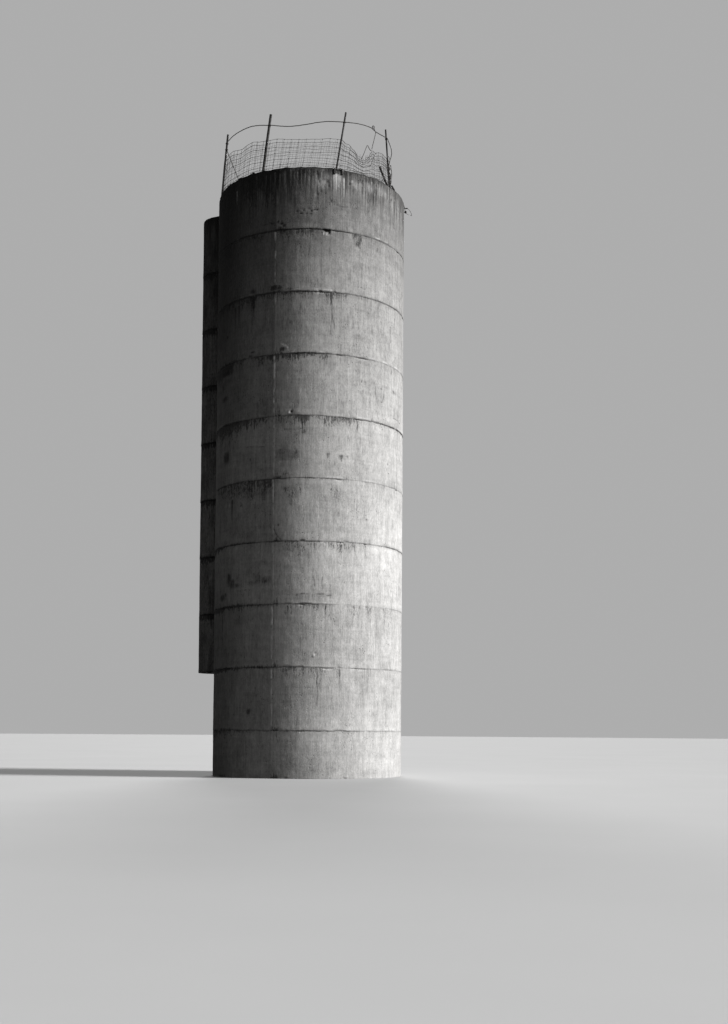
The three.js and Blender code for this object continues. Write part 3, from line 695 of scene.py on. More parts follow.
GROWTH = {
    10: [
        (-80, 0.3, 0.5), (-60, 0.45, 0.5), (-50, 0.25, 0.4), (-45, 0.5, 0.5), (-38, 0.8, 0.75),
        (-33, 0.6, 0.55), (-26, 0.8, 0.75), (-20, 0.6, 0.6), (-15, 0.3, 0.4), (-10, 0.4, 0.42),
        (-5, 0.6, 0.55), (-2, 0.3, 0.5), (2, 0.25, 0.4), (8, 0.3, 0.35), (12, 0.12, 0.4), (15, 0.06, 0.5),
        (20, 0.12, 0.6), (27, 0.2, 0.4), (31, 0.5, 0.42), (35, 0.65, 0.5), (39, 0.8, 0.52), (43, 0.4, 0.38),
        (48, 0.12, 0.3), (54, 0.4, 0.32), (60, 0.6, 0.4), (66, 0.2, 0.3), (80, 0.15, 0.4),
    ],
    9: [
        (-80, 0.3, 0.6), (-60, 0.35, 0.55), (-50, 0.2, 0.4), (-40, 0.22, 0.4), (-30, 0.25, 0.4),
        (-22, 0.1, 0.2), (-18, 0.2, 0.45), (-10, 0.2, 0.45), (-5, 0.2, 0.55), (3, 0.2, 0.55),
        (8, 0.15, 0.45), (12, 0.1, 0.2), (18, 0.15, 0.35), (22, 0.06, 0.15), (25, 0.28, 0.5),
        (30, 0.3, 0.5), (32, 0.08, 0.15), (41, 0.2, 0.3), (45, 0.05, 0.1), (80, 0.05, 0.1),
    ],
    8: [
        (-80, 0.2, 0.8), (-60, 0.15, 0.62), (-50, 0.2, 0.5), (-40, 0.2, 0.56), (-36, 0.5, 0.62),
        (-33, 0.15, 0.4), (-25, 0.2, 0.5), (-18, 0.18, 0.54), (-10, 0.16, 0.52), (-3, 0.13, 0.46),
        (1, 0.12, 0.45), (3, 0.08, 0.35), (7, 0.2, 0.45), (10, 0.25, 0.6), (15, 0.22, 0.5),
        (20, 0.18, 0.42), (22, 0.06, 0.25), (30, 0.06, 0.2), (45, 0.05, 0.2), (80, 0.04, 0.2),
    ],
    7: [
        (-80, 0.25, 0.8), (-68, 0.28, 0.9), (-60, 0.26, 1.0), (-54, 0.25, 0.9), (-50, 0.12, 0.45),
        (-45, 0.2, 0.5), (-38, 0.06, 0.3), (-33, 0.2, 0.5), (-25, 0.2, 0.6), (-18, 0.15, 0.7),
        (-12, 0.2, 0.7), (-8, 0.15, 0.6), (-3, 0.1, 0.6), (2, 0.12, 0.5), (5, 0.2, 0.5), (9, 0.2, 0.5),
        (12, 0.06, 0.2), (30, 0.03, 0.15), (80, 0.03, 0.15),
    ],
    6: [
        (-80, 0.2, 0.8), (-66, 0.3, 0.75), (-58, 0.35, 0.75), (-50, 0.32, 0.7), (-45, 0.28, 0.65),
        (-38, 0.22, 0.56), (-30, 0.2, 0.52), (-26, 0.2, 0.48), (-23, 0.05, 0.25), (-19, 0.18, 0.42),
        (-14, 0.26, 0.45), (-9, 0.28, 0.5), (-5, 0.35, 0.7), (-3, 0.35, 0.7), (0, 0.15, 0.4),
        (5, 0.2, 0.45), (10, 0.25, 0.5), (14, 0.28, 0.6), (19, 0.28, 0.6), (25, 0.25, 0.55),
        (29, 0.22, 0.5), (32, 0.08, 0.2), (40, 0.05, 0.15), (80, 0.04, 0.15),
    ],
    5: [
        (-80, 0.18, 0.4), (-70, 0.22, 0.48), (-62, 0.26, 0.52), (-58, 0.36, 0.50), (-52, 0.42, 0.52),
        (-45, 0.45, 0.53), (-37, 0.46, 0.57), (-33, 0.38, 0.52), (-29, 0.46, 0.57), (-25, 0.36, 0.52),
        (-21.4, 0.42, 0.55), (-20.7, 0.03, 0.2), (-19, 0.02, 0.1), (20, 0.02, 0.1), (80, 0.02, 0.1),
    ],
    4: [
        (-80, 0.14, 0.8), (-62, 0.12, 0.6), (-55, 0.05, 0.3), (-24, 0.04, 0.2), (-18, 0.12, 0.3),
        (-14, 0.25, 0.35), (-10, 0.35, 0.40), (-7, 0.38, 0.42), (-4, 0.3, 0.40), (-1, 0.15, 0.35),
        (3, 0.32, 0.42), (6, 0.2, 0.35), (12, 0.2, 0.4), (19, 0.34, 0.52), (23, 0.15, 0.35),
        (28, 0.22, 0.42), (32, 0.1, 0.25), (35, 0.4, 0.35), (37, 0.1, 0.15), (80, 0.04, 0.15),
    ],
    3: [
        (-80, 0.15, 0.95), (-62, 0.13, 0.95), (-58, 0.05, 0.5), (-50, 0.15, 0.55), (-43, 0.2, 0.5),
        (-38, 0.06, 0.4), (-18, 0.08, 0.35), (-13, 0.3, 0.42), (-11, 0.35, 0.42), (-9, 0.12, 0.45),
        (-3, 0.15, 0.5), (3, 0.15, 0.5), (7, 0.1, 0.4), (9.5, 0.36, 0.5), (11, 0.1, 0.3), (20, 0.08, 0.2),
        (30, 0.4, 0.38), (32, 0.1, 0.15), (39, 0.45, 0.38), (41, 0.1, 0.15), (51, 0.45, 0.38),
        (56, 0.45, 0.32), (60, 0.1, 0.15), (80, 0.05, 0.15),
    ],
    2: [
        (-80, 0.1, 0.8), (-60, 0.1, 0.7), (-50, 0.08, 0.55), (-40, 0.04, 0.35), (-18, 0.05, 0.3),
        (-12, 0.25, 0.4), (-5, 0.3, 0.42), (0, 0.25, 0.36), (5, 0.42, 0.42), (7, 0.42, 0.40), (9, 0.2, 0.3),
        (14, 0.08, 0.2), (18.5, 0.4, 0.38), (20, 0.1, 0.15), (80, 0.03, 0.1),
    ],
    1: [(-80, 0.3, 0.6), (-50, 0.15, 0.4), (-20, 0.04, 0.2), (80, 0.03, 0.1)],
}

# How dark the joint at the head of each lift is, as degrees and a share

JOINT_DARK = {
    9: [
        (-80, 0.6), (-36, 0.6), (-20, 0.8), (8, 0.9), (14, 0.55), (32, 0.45), (48, 0.35), (62, 0.15),
        (80, 0.15),
    ],
    8: [
        (-80, 1.0), (-56, 0.9), (-40, 0.6), (-16, 0.65), (-8, 0.4), (12, 0.3), (36, 0.42), (46, 0.5),
        (80, 0.4),
    ],
    7: [
        (-80, 0.65), (-50, 0.4), (-32, 0.28), (-16, 0.48), (0, 0.8), (10, 0.66), (22, 0.4), (41, 0.35),
        (47, 0.15), (57, 0.2), (80, 0.3),
    ],
    6: [
        (-80, 0.55), (-48, 0.5), (-40, 0.25), (-20, 0.3), (0, 0.45), (10, 0.2), (24, 0.25), (34, 0.5),
        (64, 0.7), (80, 0.6),
    ],
    5: [
        (-80, 0.65), (-50, 0.5), (-30, 0.4), (-16, 0.25), (-7, 0.25), (0, 0.62), (9, 0.5), (18, 0.28),
        (26, 0.15), (42, 0.08), (50, 0.2), (80, 0.15),
    ],
    4: [
        (-80, 0.9), (-50, 0.8), (-40, 0.5), (-18, 0.45), (-8, 0.26), (20, 0.22), (46, 0.35), (56, 0.65),
        (80, 0.5),
    ],
    3: [
        (-80, 1.0), (-46, 0.7), (-30, 0.6), (-22, 0.4), (0, 0.48), (8, 0.38), (20, 0.15), (50, 0.1),
        (80, 0.12),
    ],
    2: [
        (-80, 0.8), (-56, 0.9), (-40, 0.36), (-18, 0.6), (-8, 0.55), (0, 0.25), (8, 0.3), (16, 0.12),
        (56, 0.2), (80, 0.12),
    ],
    1: [(-80, 0.55), (-48, 0.55), (-38, 0.32), (-8, 0.35), (0, 0.5), (20, 0.4), (40, 0.3), (80, 0.25)],
}

# The upright seam of the form, and its twin on the far side. The paste that leaked through it, with a
# painted highlight on its rib, stands out in pale lengths, as the lowest and highest point of each and how
# pale it is.
# The groove beside the rib carries a painted shadow

SEAM_AT = -20.9
SEAM_TWIN = 180.0
SEAM_JOGS = (0.0, 0.1, -0.12, 0.06, -0.05, 0.12, -0.08, 0.05, -0.1, 0.08)
SEAM_PASTE_AND_HIGHLIGHT = {
    10: [(10.70, 11.80, 0.1)],
    9: [(9.64, 10.40, 0.55), (10.42, 10.64, 0.9)],
    8: [(8.30, 8.52, 0.6), (8.60, 9.10, 0.28), (9.20, 9.42, 0.65)],
    7: [(7.08, 7.40, 0.75), (7.40, 8.20, 0.95)],
    6: [(5.85, 6.45, 0.55), (6.50, 6.75, 0.5), (6.78, 6.97, 0.65)],
    5: [(4.70, 5.28, 0.5), (5.32, 5.60, 0.85), (5.62, 5.78, 1.0)],
    4: [(3.60, 4.30, 0.4), (4.34, 4.56, 0.9)],
    3: [(2.30, 2.90, 0.65), (2.95, 3.33, 1.0)],
    2: [(1.00, 1.90, 0.6), (1.92, 2.12, 1.0)],
}
SEAM_TWIN_PASTE_AND_HIGHLIGHT = 0.3
SEAM_LEAST_PASTE_AND_HIGHLIGHT = 0.06

# Each lift's own lightness, and how much darker it is left of the seam, from the lowest lift up. The step
# at the seam is partly a darker panel of the wall and partly painted shade

LIFT_TONE = (1.0, 1.0, 1.06, 1.12, 1.05, 1.0, 0.98, 1.0, 1.03, 1.03)
SEAM_SHADE = (0.12, 0.17, 0.21, 0.21, 0.20, 0.17, 0.27, 0.26, 0.25, 0.22)
# Painted shade over the shaded left side: where it starts and is full on the upper lifts, how dark it gets,
# and the share that darkens the foot
LEFT_SHADE_FROM = 5.8
LEFT_SHADE_TO = 11.6
LEFT_SHADE_MOST = 0.90
FOOT_SHADE = 0.24

# How much of the soot at the head of the silo there is, as photo degrees and a share

SOOT = [
    (-100, 0.9), (-34, 0.80), (-20, 0.66), (-4, 0.55), (2, 0.45), (10, 0.30), (12, 0.5), (22, 0.3),
    (70, 0.35), (100, 0.7),
]

# The crumbled mortar on top of the rim, as photo degrees and its height

CROWN = [
    (-96, 0.0), (-70, 0.012), (-54, 0.028), (-40, 0.034), (-37.2, 0.042), (-35.5, 0.016), (-32, 0.014),
    (-29.5, 0.030), (-26, 0.016), (-19, 0.017), (-16.5, 0.028), (-13, 0.015), (-2, 0.018), (1, 0.028),
    (4, 0.020), (12, 0.020), (16, 0.004), (19, 0.022), (22, 0.006), (40, 0.012), (50, 0.0), (96, 0.0),
]


def along(chain, photo, part=1):
    """A value that changes round the wall, read from a chain of places."""
    return np.interp(photo, [place[0] for place in chain], [place[part] for place in chain], period=360.0)


def joint_dark(lift, photo):
    """How dark the joint at the head of a lift is, the same for the lift below it and the lift above."""
    if lift not in JOINT_DARK:
        return photo * 0.0
    broken = ease(ripple(7000 + lift, 80, 1, photo, photo * 0), 0.35, 0.85)
    return along(JOINT_DARK[lift], photo) * (1.0 - 0.6 * broken)


# Waves of the form and grain of the cast face: number, cells across, cells up and how high

FORM_WAVES = ((1, 11, 2, 0.0032), (2, 46, 5, 0.0016), (3, 190, 16, 0.0012))
CHIP_DEEP = 0.014
CHIP_DEEP_LOW = 0.012
FOOT_LAP = 0.0045
RIM_RAGGED = 0.020
SMEAR_OFF = 0.036
SMEAR_FOOT = (0.52, 0.018)
SMEAR_HEAD = (0.30, 0.014)
SEAM_EDGE_SOFT = 0.03
RIB = (0.009, -0.014, 0.024)
GROOVE = (0.004, 0.018, 0.013)
SEAM_CORNER = (0.72, 0.07, 0.10, 0.17)
LEFT_SIDE = (-165.0, -120.0)


class Face:
    """The outer face of one lift: its points, how far they stand out from the radius, and their coats."""

    def __init__(self, lift, degrees, height):
        foot, head = lift_foot(lift), lift_head(lift)
        self.lift, self.degrees, self.height = lift, degrees, height
        self.photo = half_turn(degrees - PHOTO_SIDE)
        self.rise = (height - foot) / (head - foot)
        self.low, self.high = height - foot, head - height
        self.level = self.rise * 0
        self.relief, self.stain_and_shade, self.bloom_and_highlight, self.grime = self.level, self.level, self.level, self.level
        self.head_dark = joint_dark(lift, self.photo) if lift < LIFTS else self.level + 1
        self.foot_dark = joint_dark(lift - 1, self.photo)
        for number, across, up, tall in FORM_WAVES:
            self.relief = self.relief + tall * self.wave(number, across, up)
        self.wear_joints()
        self.smear_paste()
        self.grow_black()
        self.draw_seams()
        self.add_marks(foot, head)

    def wave(self, number, across, up=0):
        """Smooth random numbers over the face, or along it alone where up is nought."""
        rise = self.rise if up else self.level
        return ripple(100 * self.lift + number, across, max(up, 1), self.degrees, rise)

    def share(self, number, across):
        return 0.5 + 0.5 * self.wave(number, across)

    def stands_out(self, amount):
        self.relief = self.relief + amount

    def blacken(self, grime):
        self.grime = np.maximum(self.grime, grime)

    def whiten(self, bloom_and_highlight):
        self.bloom_and_highlight = np.maximum(self.bloom_and_highlight, bloom_and_highlight)

    def wear_joints(self):
        """Edges rubbed round and chipped here and there, and a foot that laps over the lift below. Where a
        joint is faint its edges are nearly flush."""
        low, high = self.low, self.high
        rub, chip, chip_low = self.share(4, 210), self.wave(5, 84), self.wave(6, 84)
        head, foot = 0.2 + 0.8 * self.head_dark, 0.2 + 0.8 * self.foot_dark
        self.stands_out(-head * (0.003 + 0.008 * rub * rub) * near(high, 0.020))
        self.stands_out(-CHIP_DEEP * ease(chip, 0.55, 0.95) * near(high, 0.045, 0.004))
        if self.lift > 1:
            self.stands_out(foot * FOOT_LAP * near(low, 0.16))
        self.stands_out(-foot * (0.0025 + 0.005 * (1 - rub)) * near(low, 0.014))
        self.stands_out(-CHIP_DEEP_LOW * ease(chip_low, 0.6, 0.95) * near(low, 0.04, 0.003))
        if self.lift == LIFTS:
            self.stands_out(-RIM_RAGGED * self.share(7, 150) ** 3 * near(high, 0.05))

    def smear_paste(self):
        """Paste smeared along the foot of a lift, and less of it along the head."""
        smear = ease(self.wave(18, 90), -0.3, 0.6) * ease(self.wave(19, 13), -0.6, 0.5)
        smear = smear * (0.55 + 0.45 * ease(self.photo, -20.0, 0.0))
        if self.lift > 1:
            self.whiten(SMEAR_FOOT[0] * smear * np.exp(-((self.low - SMEAR_OFF) / SMEAR_FOOT[1]) ** 2))
        if self.lift < LIFTS:
            self.whiten(SMEAR_HEAD[0] * smear * np.exp(-((self.high - SMEAR_OFF) / SMEAR_HEAD[1]) ** 2))

    def grow_black(self):
        """Black growth below each joint: as the photo shows it, and even and thin past its view."""
        photo, low, high = self.photo, self.low, self.high
        far = 98.0 + 36.0 * math.sin(2.1 * self.lift) ** 2
        seen = between(photo, -100.0, -82.0, far, far + 30.0)
        fringe = self.share(11, 26)
        hang = seen * along(GROWTH[self.lift], photo) + (1 - seen) * (0.05 + 0.22 * fringe)
        thick = seen * along(GROWTH[self.lift], photo, 2) + (1 - seen) * (0.35 + 0.4 * fringe)
        hang = hang * (0.65 + 0.75 * self.share(12, 150))
        self.blacken(1.15 * thick * np.clip(1.15 - high / np.maximum(hang, 0.01), 0.0, 1.0) ** 0.6)
        if self.lift < LIFTS:
            self.blacken(0.75 * self.head_dark * near(high, 0.05))
            self.blacken(0.50 * self.foot_dark * near(low, 0.04))
        patches = self.wave(15, 31, 5) * 0.5 + self.wave(16, 90, 9) * 0.3
        self.blacken(0.3 * ease(patches, 0.3, 0.75))
        shaded = between(photo, -175.0, -120.0, -30.0, 20.0)
        creep = ease(self.wave(14, 23), 0.2, 0.9) * (0.25 + 0.4 * shaded)
        self.blacken(creep * near(low, 0.10, 0.01))
        if self.lift == LIFTS:
            edge = 0.55 + 0.45 * self.wave(17, 60)
            edge = edge * (0.5 + 0.5 * between(photo, -34.0, -28.0, 20.0, 24.0))
            edge = edge * (1.0 - 0.6 * between(photo, -14.0, -8.0, 7.0, 11.0))
            edge = edge * (1.0 - 0.45 * between(photo, 18.0, 28.0, 55.0, 70.0))
            self.blacken(1.1 * edge * near(high, 0.060, 0.010))

    def draw_seams(self):
        """The form's seams: a rib of leaked paste with a painted highlight, pale in the listed lengths, and
        a groove by it with a painted shadow.
        """
        still = self.degrees * 0
        for seam in (SEAM_AT, SEAM_TWIN):
            drift = 0.005 * ripple(100 * self.lift + 8, 1, 6, still, self.rise)
            away = np.radians(half_turn(self.photo - seam - SEAM_JOGS[self.lift - 1])) * OUTER + drift
            broken = 0.5 + 0.5 * ripple(100 * self.lift + 9, 1, 17, still, self.rise)
            paste_and_highlight = self.level + (SEAM_LEAST_PASTE_AND_HIGHLIGHT if seam == SEAM_AT else SEAM_TWIN_PASTE_AND_HIGHLIGHT)
            for bottom, top, pale in SEAM_PASTE_AND_HIGHLIGHT.get(self.lift, ()) if seam == SEAM_AT else ():
                soft = SEAM_EDGE_SOFT
                length = between(self.height, bottom - soft, bottom + soft, top - soft, top + soft)
                paste_and_highlight = np.maximum(paste_and_highlight, pale * length)
            rib = np.exp(-((away - RIB[1]) / RIB[2]) ** 2)
            groove = np.exp(-((away - GROOVE[1]) / GROOVE[2]) ** 2)
            self.stands_out(RIB[0] * (0.15 + 0.85 * paste_and_highlight) * (0.3 + 0.7 * broken) * rib)
            self.stands_out(-GROOVE[0] * (0.3 + 0.7 * paste_and_highlight) * groove)
            # Painted shadow in the groove, put in with the stains
            self.stain_and_shade = np.maximum(self.stain_and_shade, (0.12 + 0.45 * paste_and_highlight) * (0.4 + 0.6 * broken) * groove)
            # The rib's pale colour: leaked paste and a painted highlight
            self.whiten(paste_and_highlight * (0.30 + 0.70 * broken) * rib)
            strength, side, wide, tall = SEAM_CORNER
            corner = np.exp(-((away - side) / wide) ** 2) * ease(away, -0.03, 0.0)
            self.blacken(strength * corner * np.clip(1.1 - self.low / tall, 0.0, 1.0))

    def tone(self):
        """The lift's lightness. Left of the seam it is darker, partly its own tone and partly painted
        shade, and more painted shade darkens the upper lifts and the foot on that side.
        """
        photo = self.photo
        left = ease(SEAM_AT - photo, -0.3, 0.3) * ease(photo, *LEFT_SIDE)
        # Painted shade over the left side, near black towards the head, and some at the foot
        left_shade = LEFT_SHADE_MOST * between(photo, *LEFT_SIDE, -78.0, -26.0)
        left_shade = left_shade * ease(self.height, LEFT_SHADE_FROM, LEFT_SHADE_TO)
        foot = FOOT_SHADE * between(photo, *LEFT_SIDE, -66.0, -36.0) * ease(-self.height, -4.6, -2.6)
        shade = SEAM_SHADE[self.lift - 1] * left
        return LIFT_TONE[self.lift - 1] * (1 - shade) * (1 - left_shade) * (1 - foot)

    def add_marks(self, foot, head):
        arc = np.radians(self.photo) * OUTER
        for mark in MARKS:
            if mark.low < head and mark.high > foot:
                mask = mark.mask(arc, self.height)
                self.stain_and_shade = np.maximum(self.stain_and_shade, mark.dark * mask)
                self.whiten(mark.pale * mask)
                self.blacken(mark.grime * mask)
                self.stands_out(-mark.deep * mask)

    def coats(self):
        return {
            "stain_and_shade": self.stain_and_shade,
            "bloom_and_highlight": self.bloom_and_highlight,
            "grime": self.grime,
            "joint": np.where(self.rise > 0.5, self.head_dark, self.foot_dark),
            "tone": self.tone(),
            "soot": along(SOOT, self.photo),
        }


def crown(degrees):
    """How high the crumbled mortar stands on the rim."""
    rough = 0.75 + 0.35 * ripple(1201, 170, 1, degrees, degrees * 0)
    return along(CROWN, half_turn(degrees - PHOTO_SIDE)) * rough


# The ring lifts. Their columns and rows stand close where the photo looks, at the seams and at the joints

FRONT_STEP = 0.5
BACK_STEP = 1.25
FRONT_FROM = PHOTO_SIDE - 96.0
FRONT_TO = PHOTO_SIDE + 96.0
SEAM_OFFSETS = (-0.75, -0.6, -0.45, -0.3, -0.15, 0.0, 0.15, 0.3, 0.45, 0.6, 0.75)
SEAM_CLEAR = 0.9
COLUMN_CLEAR = 0.4
ROW_CLEAR = 0.008
BORE_CLEAR = 0.02
RIM_SHARES = (0.14, 0.5, 0.86)
CROWN_LAP = 0.06
EDGE_ROWS = (0.0, 0.004, 0.010, 0.018, 0.030, 0.046)
ROW_STEP = 0.026
DOORWAY_AT = math.degrees(math.asin(DOORWAY_HALF / OUTER))
DOORWAY_AT_BORE = math.degrees(math.asin(DOORWAY_HALF / BORE))
DOORWAY_MIDDLE = CHUTE_SIDE + 360.0


def with_stops(rows, stops, clear):
    """The rows with some added that have to be there, and those too close to them left out."""
    for stop in stops:
        rows = [row for row in rows if abs(row - stop) > clear] + [stop]
    return rows


def ring_columns(lift):
    """The angles of a ring's columns."""
    columns = list(np.arange(FRONT_FROM, FRONT_TO, FRONT_STEP))
    columns += list(np.arange(FRONT_TO, FRONT_FROM + 360.0, BACK_STEP))
    for seam in (SEAM_AT, SEAM_TWIN):
        middle = seam + PHOTO_SIDE + SEAM_JOGS[lift - 1]
        columns = [at for at in columns if abs(half_turn(at - middle)) > SEAM_CLEAR]
        columns += [middle + offset for offset in SEAM_OFFSETS]
    if lift in DOORWAY_LIFTS:
        sides = (DOORWAY_MIDDLE - DOORWAY_AT, DOORWAY_MIDDLE + DOORWAY_AT)
        columns = with_stops(columns, sides, COLUMN_CLEAR)
    return np.array(sorted(columns))


def edge_rows(foot, head, stops=()):
    """Heights from foot to head on the outer face."""
    rows = [foot + offset for offset in EDGE_ROWS] + [head - offset for offset in EDGE_ROWS]
    inner_foot, inner_head = foot + EDGE_ROWS[-1], head - EDGE_ROWS[-1]
    count = round((inner_head - inner_foot) / ROW_STEP)
    rows += [inner_foot + (inner_head - inner_foot) * step / count for step in range(1, count)]
    return np.array(sorted(with_stops(rows, stops, ROW_CLEAR)))


def bore_rows(foot, head, stops=()):
    """Heights from head to foot on the inner face."""
    rows = [foot, foot + 0.01, foot + 0.25 * LIFT, foot + 0.5 * LIFT, foot + 0.75 * LIFT, head - 0.01, head]
    rows = [row for row in rows if foot <= row <= head]
    return np.array(sorted(set(with_stops(rows, stops, BORE_CLEAR)), reverse=True))


def bore_angle(degrees):
    """The bore's columns draw apart beside a doorway, so that its two sides are parallel."""
    away = half_turn(degrees - CHUTE_SIDE)
    inside = away * DOORWAY_AT_BORE / DOORWAY_AT
    spread = np.sign(away) * (DOORWAY_AT_BORE - DOORWAY_AT) * near(np.abs(away), 3 * DOORWAY_AT, DOORWAY_AT)
    return degrees + np.where(np.abs(away) <= DOORWAY_AT, inside - away, spread)


def on_circle(degrees, radius, height):
    """Points at those angles, for arrays of one shape."""
    turn = np.radians(degrees)
    return np.stack([radius * np.sin(turn), -radius * np.cos(turn), height], -1)


def closest(rows, stop):
    return int(np.argmin(np.abs(rows - stop)))


def ring_faces(stations, count, opening=None):
    """The faces of a closed shell of rings, with an opening cut through it where there is a doorway."""

    def index(i, j):
        return (j % stations) * count + i % count

    faces = []
    left, right, sill, lintel, bore_lintel, bore_sill = opening or (0, 0, 0, 0, 0, 0)
    for j in range(stations):
        for i in range(count):
            if not (left <= i < right and (sill <= j < lintel or bore_lintel <= j < bore_sill)):
                faces.append((index(i, j), index(i + 1, j), index(i + 1, j + 1), index(i, j + 1)))
    if opening:
        for i in range(left, right):
            for out, inner in ((sill, bore_sill), (lintel, bore_lintel)):
                faces.append((index(i, out), index(i + 1, out), index(i + 1, inner), index(i, inner)))
        for i in (left, right):
            outside = [index(i, j) for j in range(sill, lintel + 1)]
            inside = [index(i, j) for j in range(bore_lintel, bore_sill + 1)]
            faces.append(tuple(outside + inside))
    return faces


def cast_ring(lift, material):
    foot, top = lift_foot(lift), lift_head(lift) - JOINT_GAP
    doorway = (foot + DOORWAY_SILL, foot + DOORWAY_HEAD) if lift in DOORWAY_LIFTS else ()
    columns, rows, bore = ring_columns(lift), edge_rows(foot, top, doorway), bore_rows(foot, top, doorway)
    degrees, height = np.meshgrid(columns, rows)
    face = Face(lift, degrees, height)
    radius = OUTER + face.relief
    heap = crown(columns) if lift == LIFTS else columns * 0
    layers = [on_circle(degrees, radius, height + heap[None] * ease(height, top - CROWN_LAP, top))]

    # Across the top, then down the bore, then out along the foot
    shares = RIM_SHARES if lift == LIFTS else (0.5,)
    for share in shares:
        ridge = heap * (1 - share) ** 0.5
        if lift == LIFTS:
            wave = 0.004 * ripple(7000 + int(100 * share) + lift, 160, 1, columns, columns * 0)
            ridge = np.minimum(wave, 0.0) + ridge
        across = radius[-1] * (1 - share) + BORE * share
        angle = columns * (1 - share) + bore_angle(columns) * share
        layers.append(on_circle(angle, across, top + ridge)[None])
    for row in bore:
        dent = 0.004 if row in (foot, top) else 0.0
        inner = BORE + dent + 0.001 * ripple(9000 + lift, 60, 4, columns, columns * 0 + (row - foot) / LIFT)
        layers.append(on_circle(bore_angle(columns), inner, inner * 0 + row)[None])
    points = np.concatenate(layers)
    stations, count = points.shape[:2]

    opening = None
    if doorway:
        sides = [closest(columns, DOORWAY_MIDDLE + way * DOORWAY_AT) for way in (-1, 1)]
        bore_first = len(rows) + len(shares)
        inner_sides = [bore_first + closest(bore, stop) for stop in doorway[::-1]]
        opening = (*sides, closest(rows, doorway[0]), closest(rows, doorway[1]), *inner_sides)
    name = f"cast_ring_{lift:02d}"
    mesh = mesh_of(name, points.reshape(-1, 3), ring_faces(stations, count, opening))
    coat(mesh, face.coats(), stations, count)
    settle(link_piece(name, mesh, material), "concrete_wall", f"lift_{lift:02d}")


# The chute's lifts

CHUTE_STEP = 0.024
CHUTE_SIDE_STEPS = 12
CHUTE_ARC = math.pi * CHUTE_RADIUS
CHUTE_BITE = 0.006
CHUTE_COAT = {"stain_and_shade": 0.55, "bloom_and_highlight": 0.0, "grime": 0.3, "joint": 1.0, "tone": 1.0, "soot": 1.0}


def chute_plan(radius):
    """Points round the chute's plan from its +Y side to its -Y side, and the outward direction at each."""
    start = -math.sqrt((OUTER - CHUTE_BITE) ** 2 - radius ** 2)
    arc_steps = round(CHUTE_ARC / CHUTE_STEP)
    run = [start + (-CHUTE_CENTRE - start) * step / CHUTE_SIDE_STEPS for step in range(CHUTE_SIDE_STEPS)]
    turns = [math.pi * (0.5 + step / arc_steps) for step in range(arc_steps + 1)]
    spots = [(x, radius) for x in run]
    spots += [(-CHUTE_CENTRE + radius * math.cos(turn), radius * math.sin(turn)) for turn in turns]
    spots += [(x, -radius) for x in run[::-1]]
    ways = [(0.0, 1.0)] * len(run) + [(math.cos(turn), math.sin(turn)) for turn in turns]
    ways += [(0.0, -1.0)] * len(run)
    return np.array(spots), np.array(ways)


def chute_lift(lift, material):
    foot, top = lift_foot(lift), lift_head(lift) - JOINT_GAP
    outside, ways = chute_plan(CHUTE_RADIUS)
    inside, _ = chute_plan(CHUTE_RADIUS - CHUTE_WALL)
    rows = edge_rows(foot, top)
    count = len(outside)
    turn, height = np.meshgrid(np.arange(count) * 1.7, rows)
    rise = (height - foot) / (top - foot)
    low, high = height - foot, top - height
    seed = 5000 + 100 * lift
    rub = 0.5 + 0.5 * ripple(seed + 1, 130, 1, turn, rise * 0)
    chip = ripple(seed + 2, 60, 1, turn, rise * 0)
    relief = 0.002 * ripple(seed + 3, 9, 2, turn, rise) + 0.0012 * ripple(seed + 4, 60, 9, turn, rise)
    relief = relief - (0.003 + 0.006 * rub * rub) * near(high, 0.02)
    relief = relief - CHIP_DEEP * ease(chip, 0.5, 0.9) * near(high, 0.045, 0.004)
    relief = relief + 0.004 * near(low, 0.14) - 0.005 * rub * near(low, 0.014)
    coats = {
        "stain_and_shade": 0.45 + 0.12 * ripple(seed + 5, 40, 3, turn, rise),
        "grime": 0.75 * near(high, 0.12 + 0.2 * rub, 0.05),
    }
    face = [outside[:, 0] + relief * ways[:, 0], outside[:, 1] + relief * ways[:, 1], height]
    layers = [np.stack(face, -1)]
    middle = (outside + inside) / 2
    for plan, row in [(middle, top)] + [(inside, row) for row in bore_rows(foot, top)]:
        layers.append(np.stack([plan[:, 0], plan[:, 1], np.full(count, row)], -1)[None])
    points = np.concatenate(layers)
    stations = len(points)

    # The shell closes on itself along its foot, and its two ends are closed by one face each
    faces = band_faces(stations + 1, count, closed=False)
    faces += [tuple(j * count + i for j in range(stations)) for i in (0, count - 1)]
    faces = [tuple(corner % (stations * count) for corner in corners) for corners in faces]
    name = f"cast_chute_{lift:02d}"
    mesh = mesh_of(name, points.reshape(-1, 3), faces)
    coat(mesh, coats, stations, count, CHUTE_COAT)
    settle(link_piece(name, mesh, material), "concrete_chute", f"chute_lift_{lift:02d}")


# The floor inside the silo, floated by hand, with a hollow towards its middle

FLOOR_RINGS = 26
FLOOR_SPOKES = 96
FLOOR_HOLLOW = 0.006
FLOOR_SUNK = 0.003
FLOOR_ROUGH = 0.003
FLOOR_GAP = 0.0005


